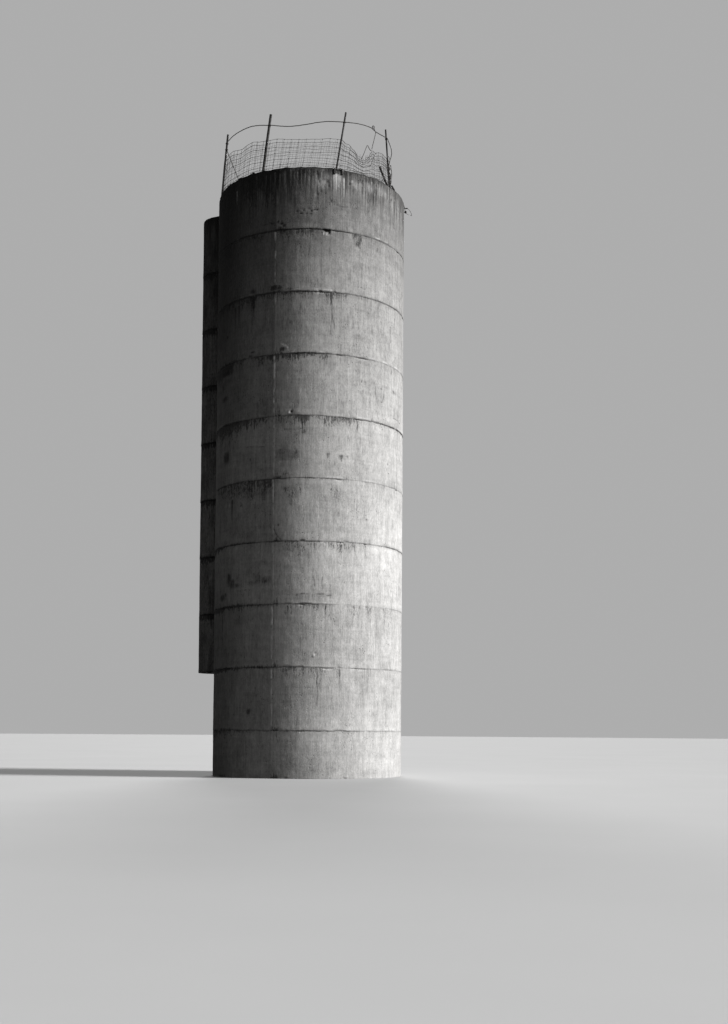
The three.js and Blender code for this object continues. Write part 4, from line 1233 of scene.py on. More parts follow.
def silo_floor(material):
    edge = BORE - FLOOR_GAP
    degrees = np.arange(FLOOR_SPOKES) * 360.0 / FLOOR_SPOKES
    points = [(0.0, 0.0, FLOOR_TOP - FLOOR_HOLLOW)]
    for ring in range(1, FLOOR_RINGS + 1):
        rough = FLOOR_ROUGH * ripple(60 + ring, 40, 1, degrees, degrees * 0)
        rough = rough - FLOOR_HOLLOW * (1 - ring / FLOOR_RINGS)
        for at, lift in zip(degrees, rough):
            points.append(round_at(at, edge * ring / FLOOR_RINGS, FLOOR_TOP - FLOOR_SUNK + lift))
    under = len(points)
    points += [round_at(at, edge, 0.0) for at in degrees] + [(0.0, 0.0, 0.0)]

    def index(ring, spoke):
        return 1 + (ring - 1) * FLOOR_SPOKES + spoke % FLOOR_SPOKES

    faces = [(0, index(1, s), index(1, s + 1)) for s in range(FLOOR_SPOKES)]
    for ring in range(1, FLOOR_RINGS):
        for s in range(FLOOR_SPOKES):
            faces.append((index(ring, s), index(ring + 1, s), index(ring + 1, s + 1), index(ring, s + 1)))
    for s in range(FLOOR_SPOKES):
        low, next_low = under + s, under + (s + 1) % FLOOR_SPOKES
        faces.append((index(FLOOR_RINGS, s), low, next_low, index(FLOOR_RINGS, s + 1)))
        faces.append((low, under + FLOOR_SPOKES, next_low))
    mesh = mesh_of("floated_floor", points, faces)
    coat(mesh, {}, len(points), 1)
    settle(link_piece("floated_floor", mesh, material), "concrete_floor", "floor_slab")


# The posts' middle lines, read from the solids

POST_NODES = [f"fence_post_{number}" for number in range(1, 7)]
UPRIGHT_FROM = 0.3
ASLANT = Vector((0.31, -0.83, 0.47))


def bar_line(node):
    """The two ends of a straight bar's middle line, and its radius."""
    points = np.array([vertex.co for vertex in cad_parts[node].data.vertices])
    middle = points.mean(0)
    way = np.linalg.svd(points - middle, full_matrices=False)[2][0]
    if way[2] < -UPRIGHT_FROM:
        way = -way
    shares = (points - middle) @ way
    radius = np.linalg.norm(points - middle - np.outer(shares, way), axis=1).max()
    return Vector(middle + way * shares.min()), Vector(middle + way * shares.max()), float(radius)


class Post:
    def __init__(self, node):
        self.foot, self.head, self.radius = bar_line(node)

    def at_height(self, over):
        share = (RIM + over - self.foot.z) / (self.head.z - self.foot.z)
        return self.foot.lerp(self.head, share)

    def tie(self, over, reach):
        """A point beside the post on its outer side, that far from its middle line."""
        spot = self.at_height(over)
        out = Vector((spot.x, spot.y, 0)).normalized()
        return spot + out * reach


POSTS = {node: Post(node) for node in POST_NODES}


def swept(stations, sides):
    """Rings of points round a line: each station is its middle, its direction and its radius."""
    rings = []
    for middle, way, radius in stations:
        across = way.cross(ASLANT).normalized()
        up = way.cross(across).normalized()
        ring = []
        for side in range(sides):
            turn = 2 * math.pi * side / sides
            ring.append(middle + across * (radius * math.cos(turn)) + up * (radius * math.sin(turn)))
        rings.append(ring)
    return rings


# Old pipe, drawn up to 1.3 times as thick as the solid where rust has swollen it

PIPE_WALL = 0.0035
PIPE_SIDES = 16
PIPE_MOUTH = 0.08
PIPE_STEP = 0.06
PIPE_SWELL = 0.03
SCALE_GROWTH = {
    "fence_post_2": 1.25,
    "fence_post_3": 1.18,
    "fence_post_4": 1.08,
    "broken_post": 1.3,
    "fallen_bar": 1.15,
}


def pipe(name, node, material, bow, ragged, seed):
    """A length of pipe with an open head, a little bowed and scabbed, in place of a solid bar."""
    foot, head, radius = bar_line(node)
    radius = radius * SCALE_GROWTH.get(node, 1.0)
    rng = np.random.default_rng(seed)
    way = (head - foot).normalized()
    length = (head - foot).length
    side = way.cross(Vector((0, 0, 1))).normalized()
    steps = max(8, round(length / PIPE_STEP))
    stations = []
    for step in range(steps + 1):
        share = step / steps
        bend = side * (bow * math.sin(math.pi * share))
        swell = 1 + PIPE_SWELL * rng.uniform(-1, 1)
        stations.append((foot.lerp(head, share) + bend, way, radius * swell))
    stations.append((head, way, radius - PIPE_WALL))
    stations.append((head - way * PIPE_MOUTH, way, radius - PIPE_WALL))
    rings = swept(stations, PIPE_SIDES)
    if ragged:
        tears = [way * (ragged * rng.uniform(-1.0, 0.0)) for _ in range(PIPE_SIDES)]
        for r in (steps, steps + 1):
            rings[r] = [point + tear for point, tear in zip(rings[r], tears)]
    points = [point for ring in rings for point in ring]
    faces = band_faces(len(rings), PIPE_SIDES)
    faces.append(tuple(range(PIPE_SIDES - 1, -1, -1)))
    faces.append(tuple(range(len(points) - PIPE_SIDES, len(points))))
    settle(link_piece(name, mesh_of(name, points, faces, 50.0), material), "post_steel", node)


# Wires are drawn as lines first. A tree of nodes then gives the lines their thickness and puts a knot
# where two wires cross

WIRE_SIDES = 6
KNOT_SIDES = 6
KNOT_RADIUS = 0.005
KNOT_LENGTH = 0.018
WIRE_SIZES = ("Wire radius", "Knot radius", "Knot length")


def wire_tree():
    tree = bpy.data.node_groups.new("drawn_wire", "GeometryNodeTree")
    face = tree.interface
    face.new_socket("Geometry", in_out="INPUT", socket_type="NodeSocketGeometry")
    for label in WIRE_SIZES:
        face.new_socket(label, in_out="INPUT", socket_type="NodeSocketFloat")
    face.new_socket("Finish", in_out="INPUT", socket_type="NodeSocketMaterial")
    face.new_socket("Geometry", in_out="OUTPUT", socket_type="NodeSocketGeometry")

    def add(kind, inputs, **settings):
        return make_node(tree, kind, inputs, **settings).outputs[0]

    given = tree.nodes.new("NodeGroupInput").outputs
    lines = add("GeometryNodeMeshToCurve", {0: given["Geometry"]})
    circle = {"Resolution": WIRE_SIDES, "Radius": given["Wire radius"]}
    section = add("GeometryNodeCurvePrimitiveCircle", circle)
    drawn = add("GeometryNodeCurveToMesh", {"Curve": lines, "Profile Curve": section, "Fill Caps": True})
    is_knot = add("GeometryNodeInputNamedAttribute", {"Name": "knot"}, data_type="FLOAT")
    aim = add("GeometryNodeInputNamedAttribute", {"Name": "aim"}, data_type="FLOAT_VECTOR")
    pick = add("FunctionNodeCompare", {0: is_knot, 1: 0.5}, data_type="FLOAT", operation="GREATER_THAN")
    spots = add("GeometryNodeMeshToPoints", {"Mesh": given["Geometry"], "Selection": pick})
    turn = add("FunctionNodeAlignRotationToVector", {"Vector": aim}, axis="Z")
    sizes = {"Radius": given["Knot radius"], "Depth": given["Knot length"]}
    barrel = add("GeometryNodeMeshCylinder", {"Vertices": KNOT_SIDES, "Side Segments": 3, **sizes})
    knots = add("GeometryNodeInstanceOnPoints", {"Points": spots, "Instance": barrel, "Rotation": turn})
    joined = tree.nodes.new("GeometryNodeJoinGeometry")
    for part in (knots, drawn):
        tree.links.new(part, joined.inputs[0])
    real = add("GeometryNodeRealizeInstances", {0: joined.outputs[0]})
    coated = add("GeometryNodeSetMaterial", {0: real, "Material": given["Finish"]})
    make_node(tree, "NodeGroupOutput", {0: coated})
    return tree


WIRE_TREE = wire_tree()


class Lines:
    """Lines and knots to be drawn as wire."""

    def __init__(self):
        self.points, self.edges, self.knots, self.aims = [], [], [], []

    def line(self, points):
        first = len(self.points)
        self.points += [Vector(point) for point in points]
        self.edges += [(first + step, first + step + 1) for step in range(len(points) - 1)]
        self.knots += [0.0] * len(points)
        self.aims += [Vector((0, 0, 1))] * len(points)

    def knot(self, point, aim):
        self.points.append(Vector(point))
        self.knots.append(1.0)
        self.aims.append(aim.normalized())

    def wrap(self, post, over, reach, turns=2.5, pitch=0.007):
        """A tie wound round a post at a height over the rim."""
        way = (post.head - post.foot).normalized()
        across = way.cross(Vector((0.2, 0.9, 0.1))).normalized()
        up = way.cross(across).normalized()
        steps = round(turns * TURN_STEPS)
        middle = post.at_height(over)
        spots = []
        for step in range(steps + 1):
            turn = 2 * math.pi * step / TURN_STEPS
            rise = way * (pitch * (step / TURN_STEPS - turns / 2))
            spots.append(middle + rise + (across * math.cos(turn) + up * math.sin(turn)) * reach)
        self.line(spots)


def draw_wires(name, lines, radius, finish, *nodes):
    """The lines as one piece of wire, in place of its CAD nodes."""
    mesh = bpy.data.meshes.new(name + "_lines")
    mesh.from_pydata([tuple(point) for point in lines.points], lines.edges, [])
    mesh.attributes.new("knot", "FLOAT", "POINT").data.foreach_set("value", lines.knots)
    flat = [part for aim in lines.aims for part in aim]
    mesh.attributes.new("aim", "FLOAT_VECTOR", "POINT").data.foreach_set("vector", flat)
    draft = bpy.data.objects.new(name + "_lines", mesh)
    bpy.context.scene.collection.objects.link(draft)
    modifier = draft.modifiers.new("wires", "NODES")
    modifier.node_group = WIRE_TREE
    given = dict(zip(WIRE_SIZES, (radius, KNOT_RADIUS, KNOT_LENGTH)), Finish=finish)
    for item in WIRE_TREE.interface.items_tree:
        if item.in_out == "INPUT" and item.name in given:
            modifier[item.identifier] = given[item.name]
    bpy.context.view_layer.update()
    evaluated = draft.evaluated_get(bpy.context.evaluated_depsgraph_get())
    made = bpy.data.meshes.new_from_object(evaluated)
    made.name = name
    draft.modifiers.remove(modifier)
    bpy.data.objects.remove(draft)
    for spare in ("knot", "aim"):
        if spare in made.attributes:
            made.attributes.remove(made.attributes[spare])
    finish_faces(made, 60.0)
    settle(link_piece(name, made, finish), "wire_steel", *nodes)


def smooth_route(points, step):
    """A smooth curve through the points, cut into short lengths."""
    ends = [points[0] * 2 - points[1]] + list(points) + [points[-1] * 2 - points[-2]]
    route = [points[0]]
    for k in range(1, len(ends) - 2):
        before, start, end, after = ends[k - 1 : k + 3]
        pieces = max(1, round((end - start).length / step))
        for piece in range(1, pieces + 1):
            t = piece / pieces
            spot = (
                start * 2
                + (end - before) * t
                + (before * 2 - start * 5 + end * 4 - after) * (t * t)
                + (start * 3 - before - end * 3 + after) * (t * t * t)
            ) * 0.5
            route.append(spot)
    return route


# Routes of the round wires: degrees, height over the rim and distance outside the posts' circle, or a
# post and the height of the tie there

HOOP_RADIUS = 0.0078
FRONT_HOOP = [
    ("fence_post_1", 1.079), (-33.1, 0.980, 0.020), (-28.5, 0.995, 0.020), (-22.5, 1.002, 0.020),
    (-13.3, 1.002, 0.020), (-6.9, 0.983, 0.021), ("fence_post_2", 0.918), (10.4, 0.866, 0.020),
    (15.4, 0.842, 0.018), (23.2, 0.854, 0.016), (31.5, 0.905, 0.016), (38.9, 0.944, 0.020),
    ("fence_post_3", 0.973), (54.9, 1.000, 0.020), (61.2, 1.016, 0.020), (67.5, 1.012, 0.020),
    (71.3, 0.970, 0.020), (79.2, 0.962, 0.020), ("fence_post_4", 0.999), (85.1, 0.822, 0.034),
    (86.2, 0.729, 0.036), (85.9, 0.642, 0.034), (84.7, 0.539, 0.026), (83.2, 0.361, 0.026),
    (83.4, 0.300, 0.026),
]
HOOP_RING = (69.05, 1.048, 0.020)
HOOP_RING_RADIUS = 0.024
BACK_HOOP = [
    ("fence_post_5", 0.960), (191, 0.905, 0.014), (203, 0.870, 0.012), (214, 0.880, 0.014),
    ("fence_post_6", 0.930),
]
LOOSE_WIRE = [
    (92.8, 0.004, 0.012), (98.4, 0.004, 0.022), (105, 0.004, 0.033), (111, 0.004, 0.042),
    (115.5, 0.004, 0.055), (118, 0.0, 0.066), (119.6, -0.032, 0.078), (120.2, -0.066, 0.096),
    (121.2, -0.098, 0.150), (122, -0.104, 0.228),
]
LOOSE_BIGHT = [(118.7, 0.003, 0.128), (119.6, -0.020, 0.165), (121.0, -0.050, 0.205), (122, -0.104, 0.228)]
LOOSE_RADIUS = 0.004
WIRE_STUB = [(118, 0.0, 0.058), (118.8, 0.002, 0.084), (118.7, 0.003, 0.130)]
WIRE_STUB_RADIUS = 0.012
WIRE_KNOB = (120.0, -0.060, 0.088)
KNOB_COILS = (0.007, 0.015)
KNOB_STEPS = 31
KNOB_PITCH = 0.007
BRACE_RADIUS = 0.0075
BRACE_TIE = 0.962
KINK = 0.003
ROUTE_STEP = 0.035
TIE_OFF = 0.003
TURN_STEPS = 12
HOOP_RING_STEPS = 15


def route_point(entry, radius):
    if isinstance(entry[0], str):
        post = POSTS[entry[0]]
        return post.tie(entry[1], post.radius + radius)
    at, over, out = entry
    return round_at(at, POST_CIRCLE + out, RIM + over)


def wire_along(route, radius, seed):
    """A route drawn as an old wire, with the small kinks that handling leaves."""
    rng = np.random.default_rng(seed)
    drawn = smooth_route([route_point(entry, radius) for entry in route], ROUTE_STEP)
    middle = [point + Vector(rng.normal(0, KINK / 2, 3)) for point in drawn[1:-1]]
    return [drawn[0]] + middle + [drawn[-1]]


def coil(hub, out, radius, steps, slide=Vector()):
    """Points of a coil round a place, in the upright plane that holds out, sliding along as it turns."""
    points = []
    for step in range(steps):
        turn = 2 * math.pi * step / TURN_STEPS
        reach = out * math.cos(turn) + Vector((0, 0, math.sin(turn)))
        points.append(hub + reach * radius + slide * (step / TURN_STEPS - (steps - 1) / TURN_STEPS / 2))
    return points


def hoop(name, route, seed, node, finish):
    """A hoop's top wire, wound round the posts that carry it, and the ring that the front one has."""
    lines = Lines()
    lines.line(wire_along(route, HOOP_RADIUS, seed))
    for entry in route:
        if isinstance(entry[0], str):
            post = POSTS[entry[0]]
            lines.wrap(post, entry[1], post.radius + TIE_OFF)
    if node == "front_hoop":
        side = round_at(HOOP_RING[0] + 90, 1.0, 0)
        lines.line(coil(route_point(HOOP_RING, HOOP_RADIUS), side, HOOP_RING_RADIUS, HOOP_RING_STEPS))
    draw_wires(name, lines, HOOP_RADIUS, finish, node)


def rim_wires(finish):
    lines = Lines()
    lines.line(wire_along(LOOSE_WIRE, LOOSE_RADIUS, 23))
    lines.line(wire_along(LOOSE_BIGHT, LOOSE_RADIUS, 24))
    draw_wires("rim_loose_wire", lines, LOOSE_RADIUS, finish, "loose_wire")
    lines = Lines()
    hub = route_point(WIRE_KNOB, LOOSE_RADIUS)
    slide = round_at(WIRE_KNOB[0] + 90, 1.0, 0) * KNOB_PITCH
    for radius in KNOB_COILS:
        lines.line(coil(hub, round_at(WIRE_KNOB[0], 1.0, 0), radius, KNOB_STEPS, slide))
    lines.line(wire_along(WIRE_STUB, WIRE_STUB_RADIUS, 25))
    draw_wires("rim_wire_stub", lines, WIRE_STUB_RADIUS, finish)
    foot, head, _ = bar_line("brace_wire")
    lines = Lines()
    lines.line([foot.lerp(head, step / 10) for step in range(11)])
    post = POSTS["fence_post_1"]
    lines.wrap(post, BRACE_TIE, post.radius + TIE_OFF, 3.0)
    draw_wires("brace_strand", lines, BRACE_RADIUS, finish, "brace_wire")


# The woven fence. Each panel has its two posts, the radius of its line wires, of its upright wires and of
# its fine weave, and its crest, as shares of its length and of the fence's full height there

LINE_WIRES = (0.045, 0.105, 0.205, 0.325, 0.435, 0.525, 0.590)
FINE_WIRES = (0.075, 0.150, 0.255, 0.290, 0.370, 0.400, 0.480)
FOOT_WIRE, TOP_WIRE = LINE_WIRES[0], LINE_WIRES[-1]
FINE_FOOT = FOOT_WIRE - 0.02
UPRIGHT_SPACING = 6 * INCH
UPRIGHT_STEPS = 12
WIRE_STEP = 0.03
SLACK = 1.03
STANDS_OFF = 0.0033
LOOSE_END = 0.025
PANEL_WEAVE = 0.0015
PANEL_SWAY = 0.004
PANEL_WAVE = 0.006
WIRE_ROUGH = 0.0012
UPRIGHT_OFF = 0.002
PANELS = {
    "fence_panel_1": (
        "fence_post_1", "fence_post_2", 0.0037, 0.0024, 0.0018,
        [(0, 1.3), (0.2, 1.2), (0.38, 1.18), (0.51, 1.08), (0.6, 1.04), (0.7, 1.11), (0.8, 1.14),
         (0.9, 1.065), (1, 1.03)],
    ),
    "fence_panel_2": (
        "fence_post_2", "fence_post_3", 0.0030, 0.0021, 0.0017,
        [(0, 1.03), (0.16, 1.03), (0.3, 0.98), (0.48, 0.965), (0.72, 0.97), (0.83, 1.02), (1, 1.045)],
    ),
    "fence_panel_3": (
        "fence_post_3", "fence_post_4", 0.0038, 0.0020, 0.0023,
        [(0, 1.05), (0.08, 0.93), (0.14, 0.93), (0.18, 0.84), (0.25, 0.75), (0.33, 0.52), (0.42, 0.5),
         (0.5, 0.66), (0.58, 0.97), (0.66, 0.91), (0.72, 1), (0.81, 1.03), (0.87, 1), (1, 0.93)],
    ),
    "fence_panel_4": (
        "fence_post_5", "fence_post_6", 0.0033, 0.0033, 0.0019,
        [(0, 1.0), (0.5, 0.94), (1, 0.98)],
    ),
}
FINE_CREST_3 = [
    (0, 1.05), (0.2, 0.90), (0.33, 0.72), (0.42, 0.62), (0.46, 0.80), (0.55, 0.94), (0.66, 0.91),
    (0.72, 1), (0.81, 1.03), (0.87, 1), (1, 0.93),
]


def degrees_of(spot, near):
    at = math.degrees(math.atan2(spot.x, -spot.y))
    return at + 360 * round((near - at) / 360)


class Panel:
    """A length of woven fence between two posts."""

    def __init__(self, name):
        from_post, to_post, *radii, self.crest = PANELS[name]
        self.line_radius, self.upright_radius, self.fine_radius = radii
        self.name, self.first, self.last = name, POSTS[from_post], POSTS[to_post]
        self.length = (self.last.foot - self.first.foot).length * SLACK
        self.spaces = round(self.length / UPRIGHT_SPACING)
        shared = {row[0] for row in PANELS.values()} & {row[1] for row in PANELS.values()}
        self.start = 0.0 if from_post in shared else -LOOSE_END / self.length
        self.end = 1.0 if to_post in shared else 1 + LOOSE_END / self.length

    def over(self, share, line):
        """How high over the rim a line wire of that height is there."""
        return line * float(np.interp(share, *zip(*self.crest)))

    def spot(self, share, line, bow=0.0):
        """The place on the panel at a share of its length, on a line wire of that height."""
        over = self.over(share, line)
        start, end = self.first.at_height(over), self.last.at_height(over)
        near_foot = degrees_of(self.first.foot, 0)
        at_start = degrees_of(start, near_foot)
        at_end = degrees_of(end, degrees_of(self.last.foot, near_foot + 47))
        at = at_start + (at_end - at_start) * share
        out_start = math.hypot(start.x, start.y) + self.first.radius
        out_end = math.hypot(end.x, end.y) + self.last.radius
        return round_at(at, out_start + (out_end - out_start) * share + STANDS_OFF + bow, RIM + over)


def woven_panel(name, finish):
    panel = Panel(name)
    rng = np.random.default_rng(sum(name.encode()))
    lines, upright_lines = Lines(), Lines()
    steps = round(panel.length / WIRE_STEP)
    for line in LINE_WIRES:
        phase = rng.uniform(0, 2 * math.pi)
        route = []
        for step in range(steps + 1):
            share = panel.start + (panel.end - panel.start) * step / steps
            weave = PANEL_WEAVE * math.sin(2 * math.pi * share * panel.spaces)
            sway = PANEL_SWAY * math.sin(5 * share + phase) + weave
            wave = PANEL_WAVE * math.sin(3.1 * share * math.pi + phase) + rng.normal(0, WIRE_ROUGH)
            route.append(panel.spot(share, line, sway) + Vector((0, 0, wave)))
        lines.line(route)
        for post, share in ((panel.first, 0.0), (panel.last, 1.0)):
            lines.wrap(post, panel.over(share, line), post.radius + 0.002, 1.25, 0.005)
    for upright in range(panel.spaces):
        share = (upright + 0.5) / panel.spaces
        lean = rng.normal(0, 0.006)
        points = []
        for step in range(UPRIGHT_STEPS + 1):
            line = FOOT_WIRE + (TOP_WIRE - FOOT_WIRE) * step / UPRIGHT_STEPS
            drift = share + lean * (step / UPRIGHT_STEPS - 0.5) + rng.normal(0, WIRE_ROUGH)
            points.append(panel.spot(drift, line, UPRIGHT_OFF))
        upright_lines.line(points)
        for line in LINE_WIRES:
            drift = share + lean * ((line - FOOT_WIRE) / (TOP_WIRE - FOOT_WIRE) - 0.5)
            here = panel.spot(drift, line)
            lines.knot(here, panel.spot(drift + 0.01, line) - here)
    strands(lines, LOOSE_STRANDS.get(name, ()))
    draw_wires(name.replace("fence_panel", "woven_panel"), lines, panel.line_radius, finish, name)
    draw_wires(name.replace("fence_panel", "upright_wires"), upright_lines, panel.upright_radius, finish)


def fine_weave(name, finish):
    """The second, finer weave that shows between the wires of a panel."""
    panel = Panel(name)
    if name == "fence_panel_3":
        panel.crest = FINE_CREST_3
    rng = np.random.default_rng(77 + sum(name.encode()))
    lines = Lines()
    steps = round(panel.length / WIRE_STEP)
    for line in FINE_WIRES:
        phase = rng.uniform(0, 2 * math.pi)
        route = []
        for step in range(steps + 1):
            share = step / steps
            wave = 0.010 * math.sin(11 * share + phase) + 0.005 * math.sin(31 * share + 2 * phase)
            wave += rng.normal(0, 0.002)
            sway = 0.006 * math.sin(9 * share + phase)
            route.append(panel.spot(share, line, sway) + Vector((0, 0, wave)))
        lines.line(route)
    uprights = 3 * panel.spaces
    for upright in range(uprights + 1):
        share = min(max((upright + rng.uniform(-0.22, 0.22)) / uprights, 0.004), 0.996)
        lean = rng.normal(0, 0.012)
        top = rng.uniform(0.86, 1.0)
        phase = rng.uniform(0, 2 * math.pi)
        points = []
        for step in range(UPRIGHT_STEPS + 1):
            rise = top * step / UPRIGHT_STEPS
            drift = share + lean * (rise - 0.5) + 0.0035 * math.sin(9 * rise + phase)
            points.append(panel.spot(drift, FINE_FOOT + (TOP_WIRE - FINE_FOOT) * rise, 0.004))
        lines.line(points)
    draw_wires(name.replace("fence_panel", "fine_weave"), lines, panel.fine_radius, finish)


# Strands torn out of the third panel and wires that lie about it. Each is a list of places: degrees, height
# over the rim and distance outside the posts' circle

STOUT_RADIUS = 0.0066
STOUT_STRANDS = [
    [(59.9, 0.310, 0.02), (60.6, 0.352, 0.03), (62.4, 0.500, 0.035), (64.2, 0.626, 0.03),
     (65.4, 0.585, 0.03), (66.4, 0.552, 0.03), (67.5, 0.564, 0.025), (68.8, 0.70, 0.02),
     (70.2, 0.86, 0.02), (71.0, 0.950, 0.02), (70.7, 0.973, 0.02), (69.6, 1.020, 0.02)],
    [(79.3, 0.185, -0.005), (78.6, 0.130, 0.01), (77.8, 0.070, 0.01), (77.1, 0.027, 0.005)],
]
TANGLE_RADIUS = 0.0052
TANGLE = [
    [(81.0, 0.544, 0.02), (82.2, 0.60, 0.035), (83.6, 0.56, 0.045), (83.2, 0.47, 0.05), (82.0, 0.40, 0.04),
     (82.8, 0.30, 0.045), (84.4, 0.24, 0.05), (83.6, 0.14, 0.045), (82.2, 0.06, 0.04)],
    [(83.2, 0.32, 0.04), (84.2, 0.44, 0.055), (84.9, 0.36, 0.055), (85.6, 0.337, 0.05), (85.9, 0.24, 0.05),
     (85.0, 0.125, 0.045), (84.5, 0.058, 0.04), (85.4, 0.015, 0.04)],
    [(80.2, 0.42, 0.02), (81.4, 0.33, 0.03), (82.9, 0.26, 0.04), (84.1, 0.17, 0.04), (83.2, 0.09, 0.03)],
    [(83.4, 0.30, 0.03), (84.6, 0.22, 0.045), (84.2, 0.13, 0.045), (85.2, 0.08, 0.04), (84.0, 0.03, 0.03)],
    [(84.4, 0.38, 0.05), (85.4, 0.29, 0.055), (84.6, 0.19, 0.05), (85.6, 0.12, 0.045), (85.0, 0.03, 0.035)],
    [(81.6, 0.37, 0.03), (82.8, 0.38, 0.045), (83.8, 0.35, 0.05), (83.0, 0.31, 0.05), (82.0, 0.33, 0.04),
     (82.6, 0.24, 0.045), (83.9, 0.20, 0.05)],
]
LOOSE_STRANDS = {
    "fence_panel_1": [
        [(-39.2, 0.520, 0.03), (-37.6, 0.450, 0.03), (-35.8, 0.375, 0.025), (-34.2, 0.328, 0.02)],
    ],
    "fence_panel_3": [
        [(71.8, 0.564, 0.02), (70.2, 0.50, 0.03), (68.4, 0.40, 0.04), (67.2, 0.28, 0.03),
         (66.4, 0.22, 0.02)],
    ],
}
STRAND_STEP = 0.02


def strands(lines, routes):
    for route in routes:
        spots = [round_at(at, POST_CIRCLE + out, RIM + over) for at, over, out in route]
        lines.line(smooth_route(spots, STRAND_STEP))


def torn_strands(name, routes, radius, finish):
    lines = Lines()
    strands(lines, routes)
    draw_wires(name, lines, radius, finish)


# The strap that hooks the third post to the wall, a bent flat bar with two legs. Each leg has its width,
# and its places as degrees from the post, radius from the silo's axis and height over the rim

STRAP_THICK = 0.007
STRAP_BEVEL = 0.0015
STRAP_LEGS = (
    (0.034, (
        (-1.2, POST_CIRCLE + 0.02, 0.005), (1.8, OUTER - 0.012, 0.006), (3.35, OUTER + 0.004, 0.003),
        (3.55, OUTER + 0.008, -0.012), (3.5, OUTER + 0.007, -0.09),
    )),
    (0.040, (
        (0.5, POST_CIRCLE + 0.02, 0.014), (-0.8, OUTER - 0.012, 0.014), (-1.15, OUTER + 0.004, 0.010),
        (-1.2, OUTER + 0.008, -0.012), (-1.2, OUTER + 0.007, -0.090),
    )),
)


def post_strap(finish):
    post_at = degrees_of(POSTS["fence_post_3"].at_height(0.0), 44)
    points, faces = [], []
    for broad, leg in STRAP_LEGS:
        start = len(points)
        middles = [round_at(post_at + at, radius, RIM + height) for at, radius, height in leg]
        for k, middle in enumerate(middles):
            before, after = middles[max(0, k - 1)], middles[min(len(middles) - 1, k + 1)]
            way = (after - before).normalized()
            out = round_at(post_at + leg[k][0], 1.0, 1.0)
            wide = way.cross(out).normalized()
            thick = wide.cross(way).normalized()
            if thick.dot(out) < 0:
                thick, wide = -thick, -wide
            for w, t in ((-1, 0), (1, 0), (1, 1), (-1, 1)):
                points.append(middle + wide * (w * broad / 2) + thick * (t * STRAP_THICK))
        faces.append((start + 3, start + 2, start + 1, start))
        faces += band_faces(len(middles), 4, start)
        faces.append(tuple(range(len(points) - 4, len(points))))
    piece = link_piece("post_3_strap", mesh_of("post_3_strap", points, faces, 30.0), finish)
    bevel = piece.modifiers.new("edge", "BEVEL")
    bevel.width = STRAP_BEVEL
    bevel.segments = 2
    settle(piece, "post_steel")


# Grout that the posts were set in, a low uneven collar round each foot: its rings' shares of the reach and
# their heights

COLLAR_SIDES = 20
COLLAR_REACH = 0.022
COLLAR_RINGS = ((1.0, -0.004), (1.0, 0.006), (0.72, 0.020), (0.42, 0.026))


def grout_collars(material):
    points, faces = [], []
    for number, post in enumerate(POSTS.values()):
        rng = np.random.default_rng(300 + number)
        foot = post.at_height(0.0)
        rough = rng.uniform(0.8, 1.25, COLLAR_SIDES)
        start = len(points)
        for share, rise in COLLAR_RINGS:
            for side in range(COLLAR_SIDES):
                turn = 2 * math.pi * side / COLLAR_SIDES
                reach = (post.radius + COLLAR_REACH * rough[side]) * share + post.radius * (1 - share) * 0.8
                lift = rise * (0.7 + 0.3 * rough[side])
                points.append(foot + Vector((reach * math.cos(turn), reach * math.sin(turn), lift)))
        faces += band_faces(len(COLLAR_RINGS), COLLAR_SIDES, start)
        faces.append(tuple(range(start + COLLAR_SIDES - 1, start - 1, -1)))
        faces.append(tuple(range(len(points) - COLLAR_SIDES, len(points))))
    mesh = mesh_of("grout_collars", points, faces)
    coat(mesh, {}, len(points), 1)
    settle(link_piece("grout_collars", mesh, material), "concrete_wall")


# The stage: a pale floor, and lights with their degrees from the photo's side, height, strength and spread.
# The key light comes from the right, a weak one fills the front and one stands behind

LIGHTS = {
    "key_light": (77.5, 34.0, 6.35, 12.0),
    "fill_light": (22.0, 20.0, 0.36, 50.0),
    "back_light": (180.0, 30.0, 1.8, 20.0),
}
LIGHT_AWAY = 30
SKY_LIGHT = 0.045
SKY_SEEN = 0.42
FLOOR_REACH = 160.0
FLOOR_SIDES = 96
FLOOR_LEVEL = -0.001


def sun(name, at, height, strength, spread):
    data = bpy.data.lights.new(name, "SUN")
    data.energy = strength
    data.angle = math.radians(spread)
    lamp = bpy.data.objects.new(name, data)
    bpy.context.scene.collection.objects.link(lamp)
    rise = math.radians(height)
    source = round_at(PHOTO_SIDE + at, math.cos(rise), math.sin(rise))
    lamp.matrix_world = source.to_track_quat("Z", "Y").to_matrix().to_4x4()
    lamp.location = source * LIGHT_AWAY


def stage_floor():
    points = [round_at(360 * side / FLOOR_SIDES, FLOOR_REACH, FLOOR_LEVEL) for side in range(FLOOR_SIDES)]
    mesh = bpy.data.meshes.new("stage_floor")
    mesh.from_pydata([tuple(point) for point in points], [], [tuple(range(FLOOR_SIDES))])
    piece = link_piece("stage_floor", mesh, pale_floor())
    piece.visible_diffuse = False


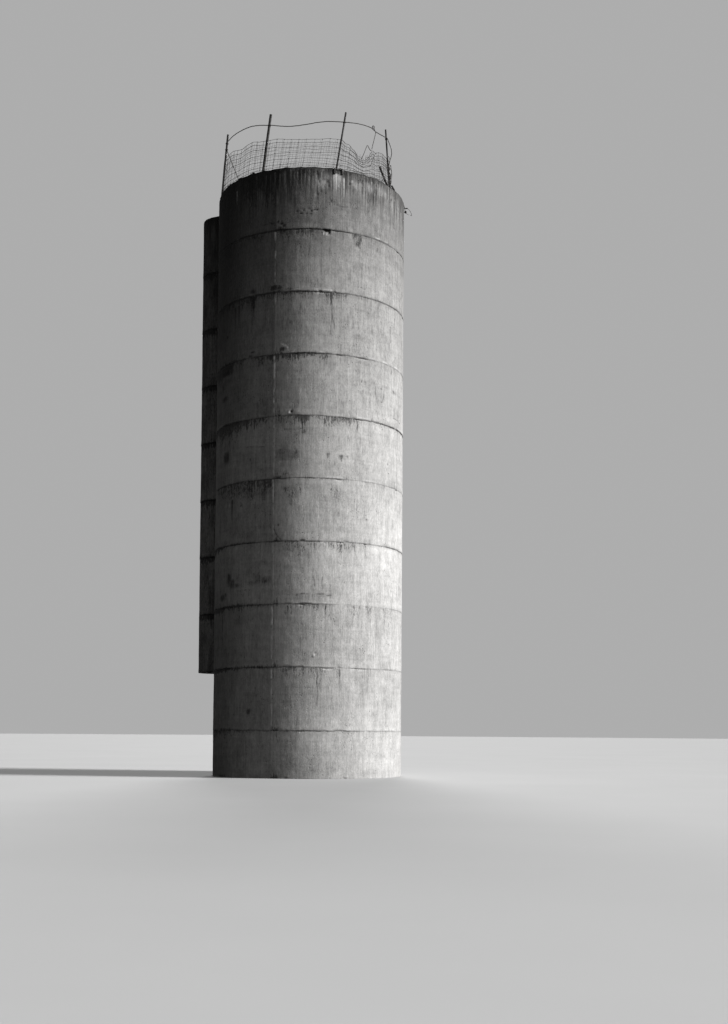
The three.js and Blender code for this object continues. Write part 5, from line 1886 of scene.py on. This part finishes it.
def sky():
    """A faint even light, and a mid grey where the camera sees past the floor."""
    world = bpy.data.worlds.new("studio")
    bpy.context.scene.world = world
    world.use_nodes = True
    tree = world.node_tree
    tree.nodes.clear()
    shares = {0: make_node(tree, "ShaderNodeLightPath", {}).outputs["Is Camera Ray"]}
    for socket, strength in ((1, SKY_LIGHT), (2, SKY_SEEN)):
        inputs = {"Color": (1, 1, 1, 1), "Strength": strength}
        shares[socket] = make_node(tree, "ShaderNodeBackground", inputs).outputs[0]
    blend = make_node(tree, "ShaderNodeMixShader", shares)
    make_node(tree, "ShaderNodeOutputWorld", {"Surface": blend.outputs[0]})


# Putting it together

make_camera()
bpy.context.scene.view_settings.view_transform = "Standard"
for light, setting in LIGHTS.items():
    sun(light, *setting)
sky()
stage_floor()

wall_finish = concrete("weathered_wall", 0.45)
chute_finish = concrete("weathered_chute", 0.36)
floor_finish = concrete("floated_floor", 0.34)
post_finish = rusted("rusted_pipe", 0.009, 0.07, 38.0)
wire_finish = rusted("weathered_wire", 0.024, 0.3, 60.0)

for lift_number in range(1, LIFTS + 1):
    cast_ring(lift_number, wall_finish)
for lift_number in CHUTE_LIFTS:
    chute_lift(lift_number, chute_finish)
silo_floor(floor_finish)
for number, node in enumerate(POST_NODES):
    pipe(f"pipe_post_{number + 1}", node, post_finish, 0.006, 0.0, 40 + number)
pipe("broken_pipe", "broken_post", post_finish, 0.004, 0.03, 47)
pipe("fallen_pipe", "fallen_bar", post_finish, 0.003, 0.01, 48)
hoop("front_hoop_wire", FRONT_HOOP, 21, "front_hoop", wire_finish)
hoop("back_hoop_wire", BACK_HOOP, 22, "back_hoop", wire_finish)
rim_wires(wire_finish)
for panel_name in PANELS:
    woven_panel(panel_name, wire_finish)
    fine_weave(panel_name, wire_finish)
torn_strands("torn_strands", STOUT_STRANDS, STOUT_RADIUS, wire_finish)
torn_strands("wire_tangle", TANGLE, TANGLE_RADIUS, wire_finish)
post_strap(post_finish)
grout_collars(wall_finish)
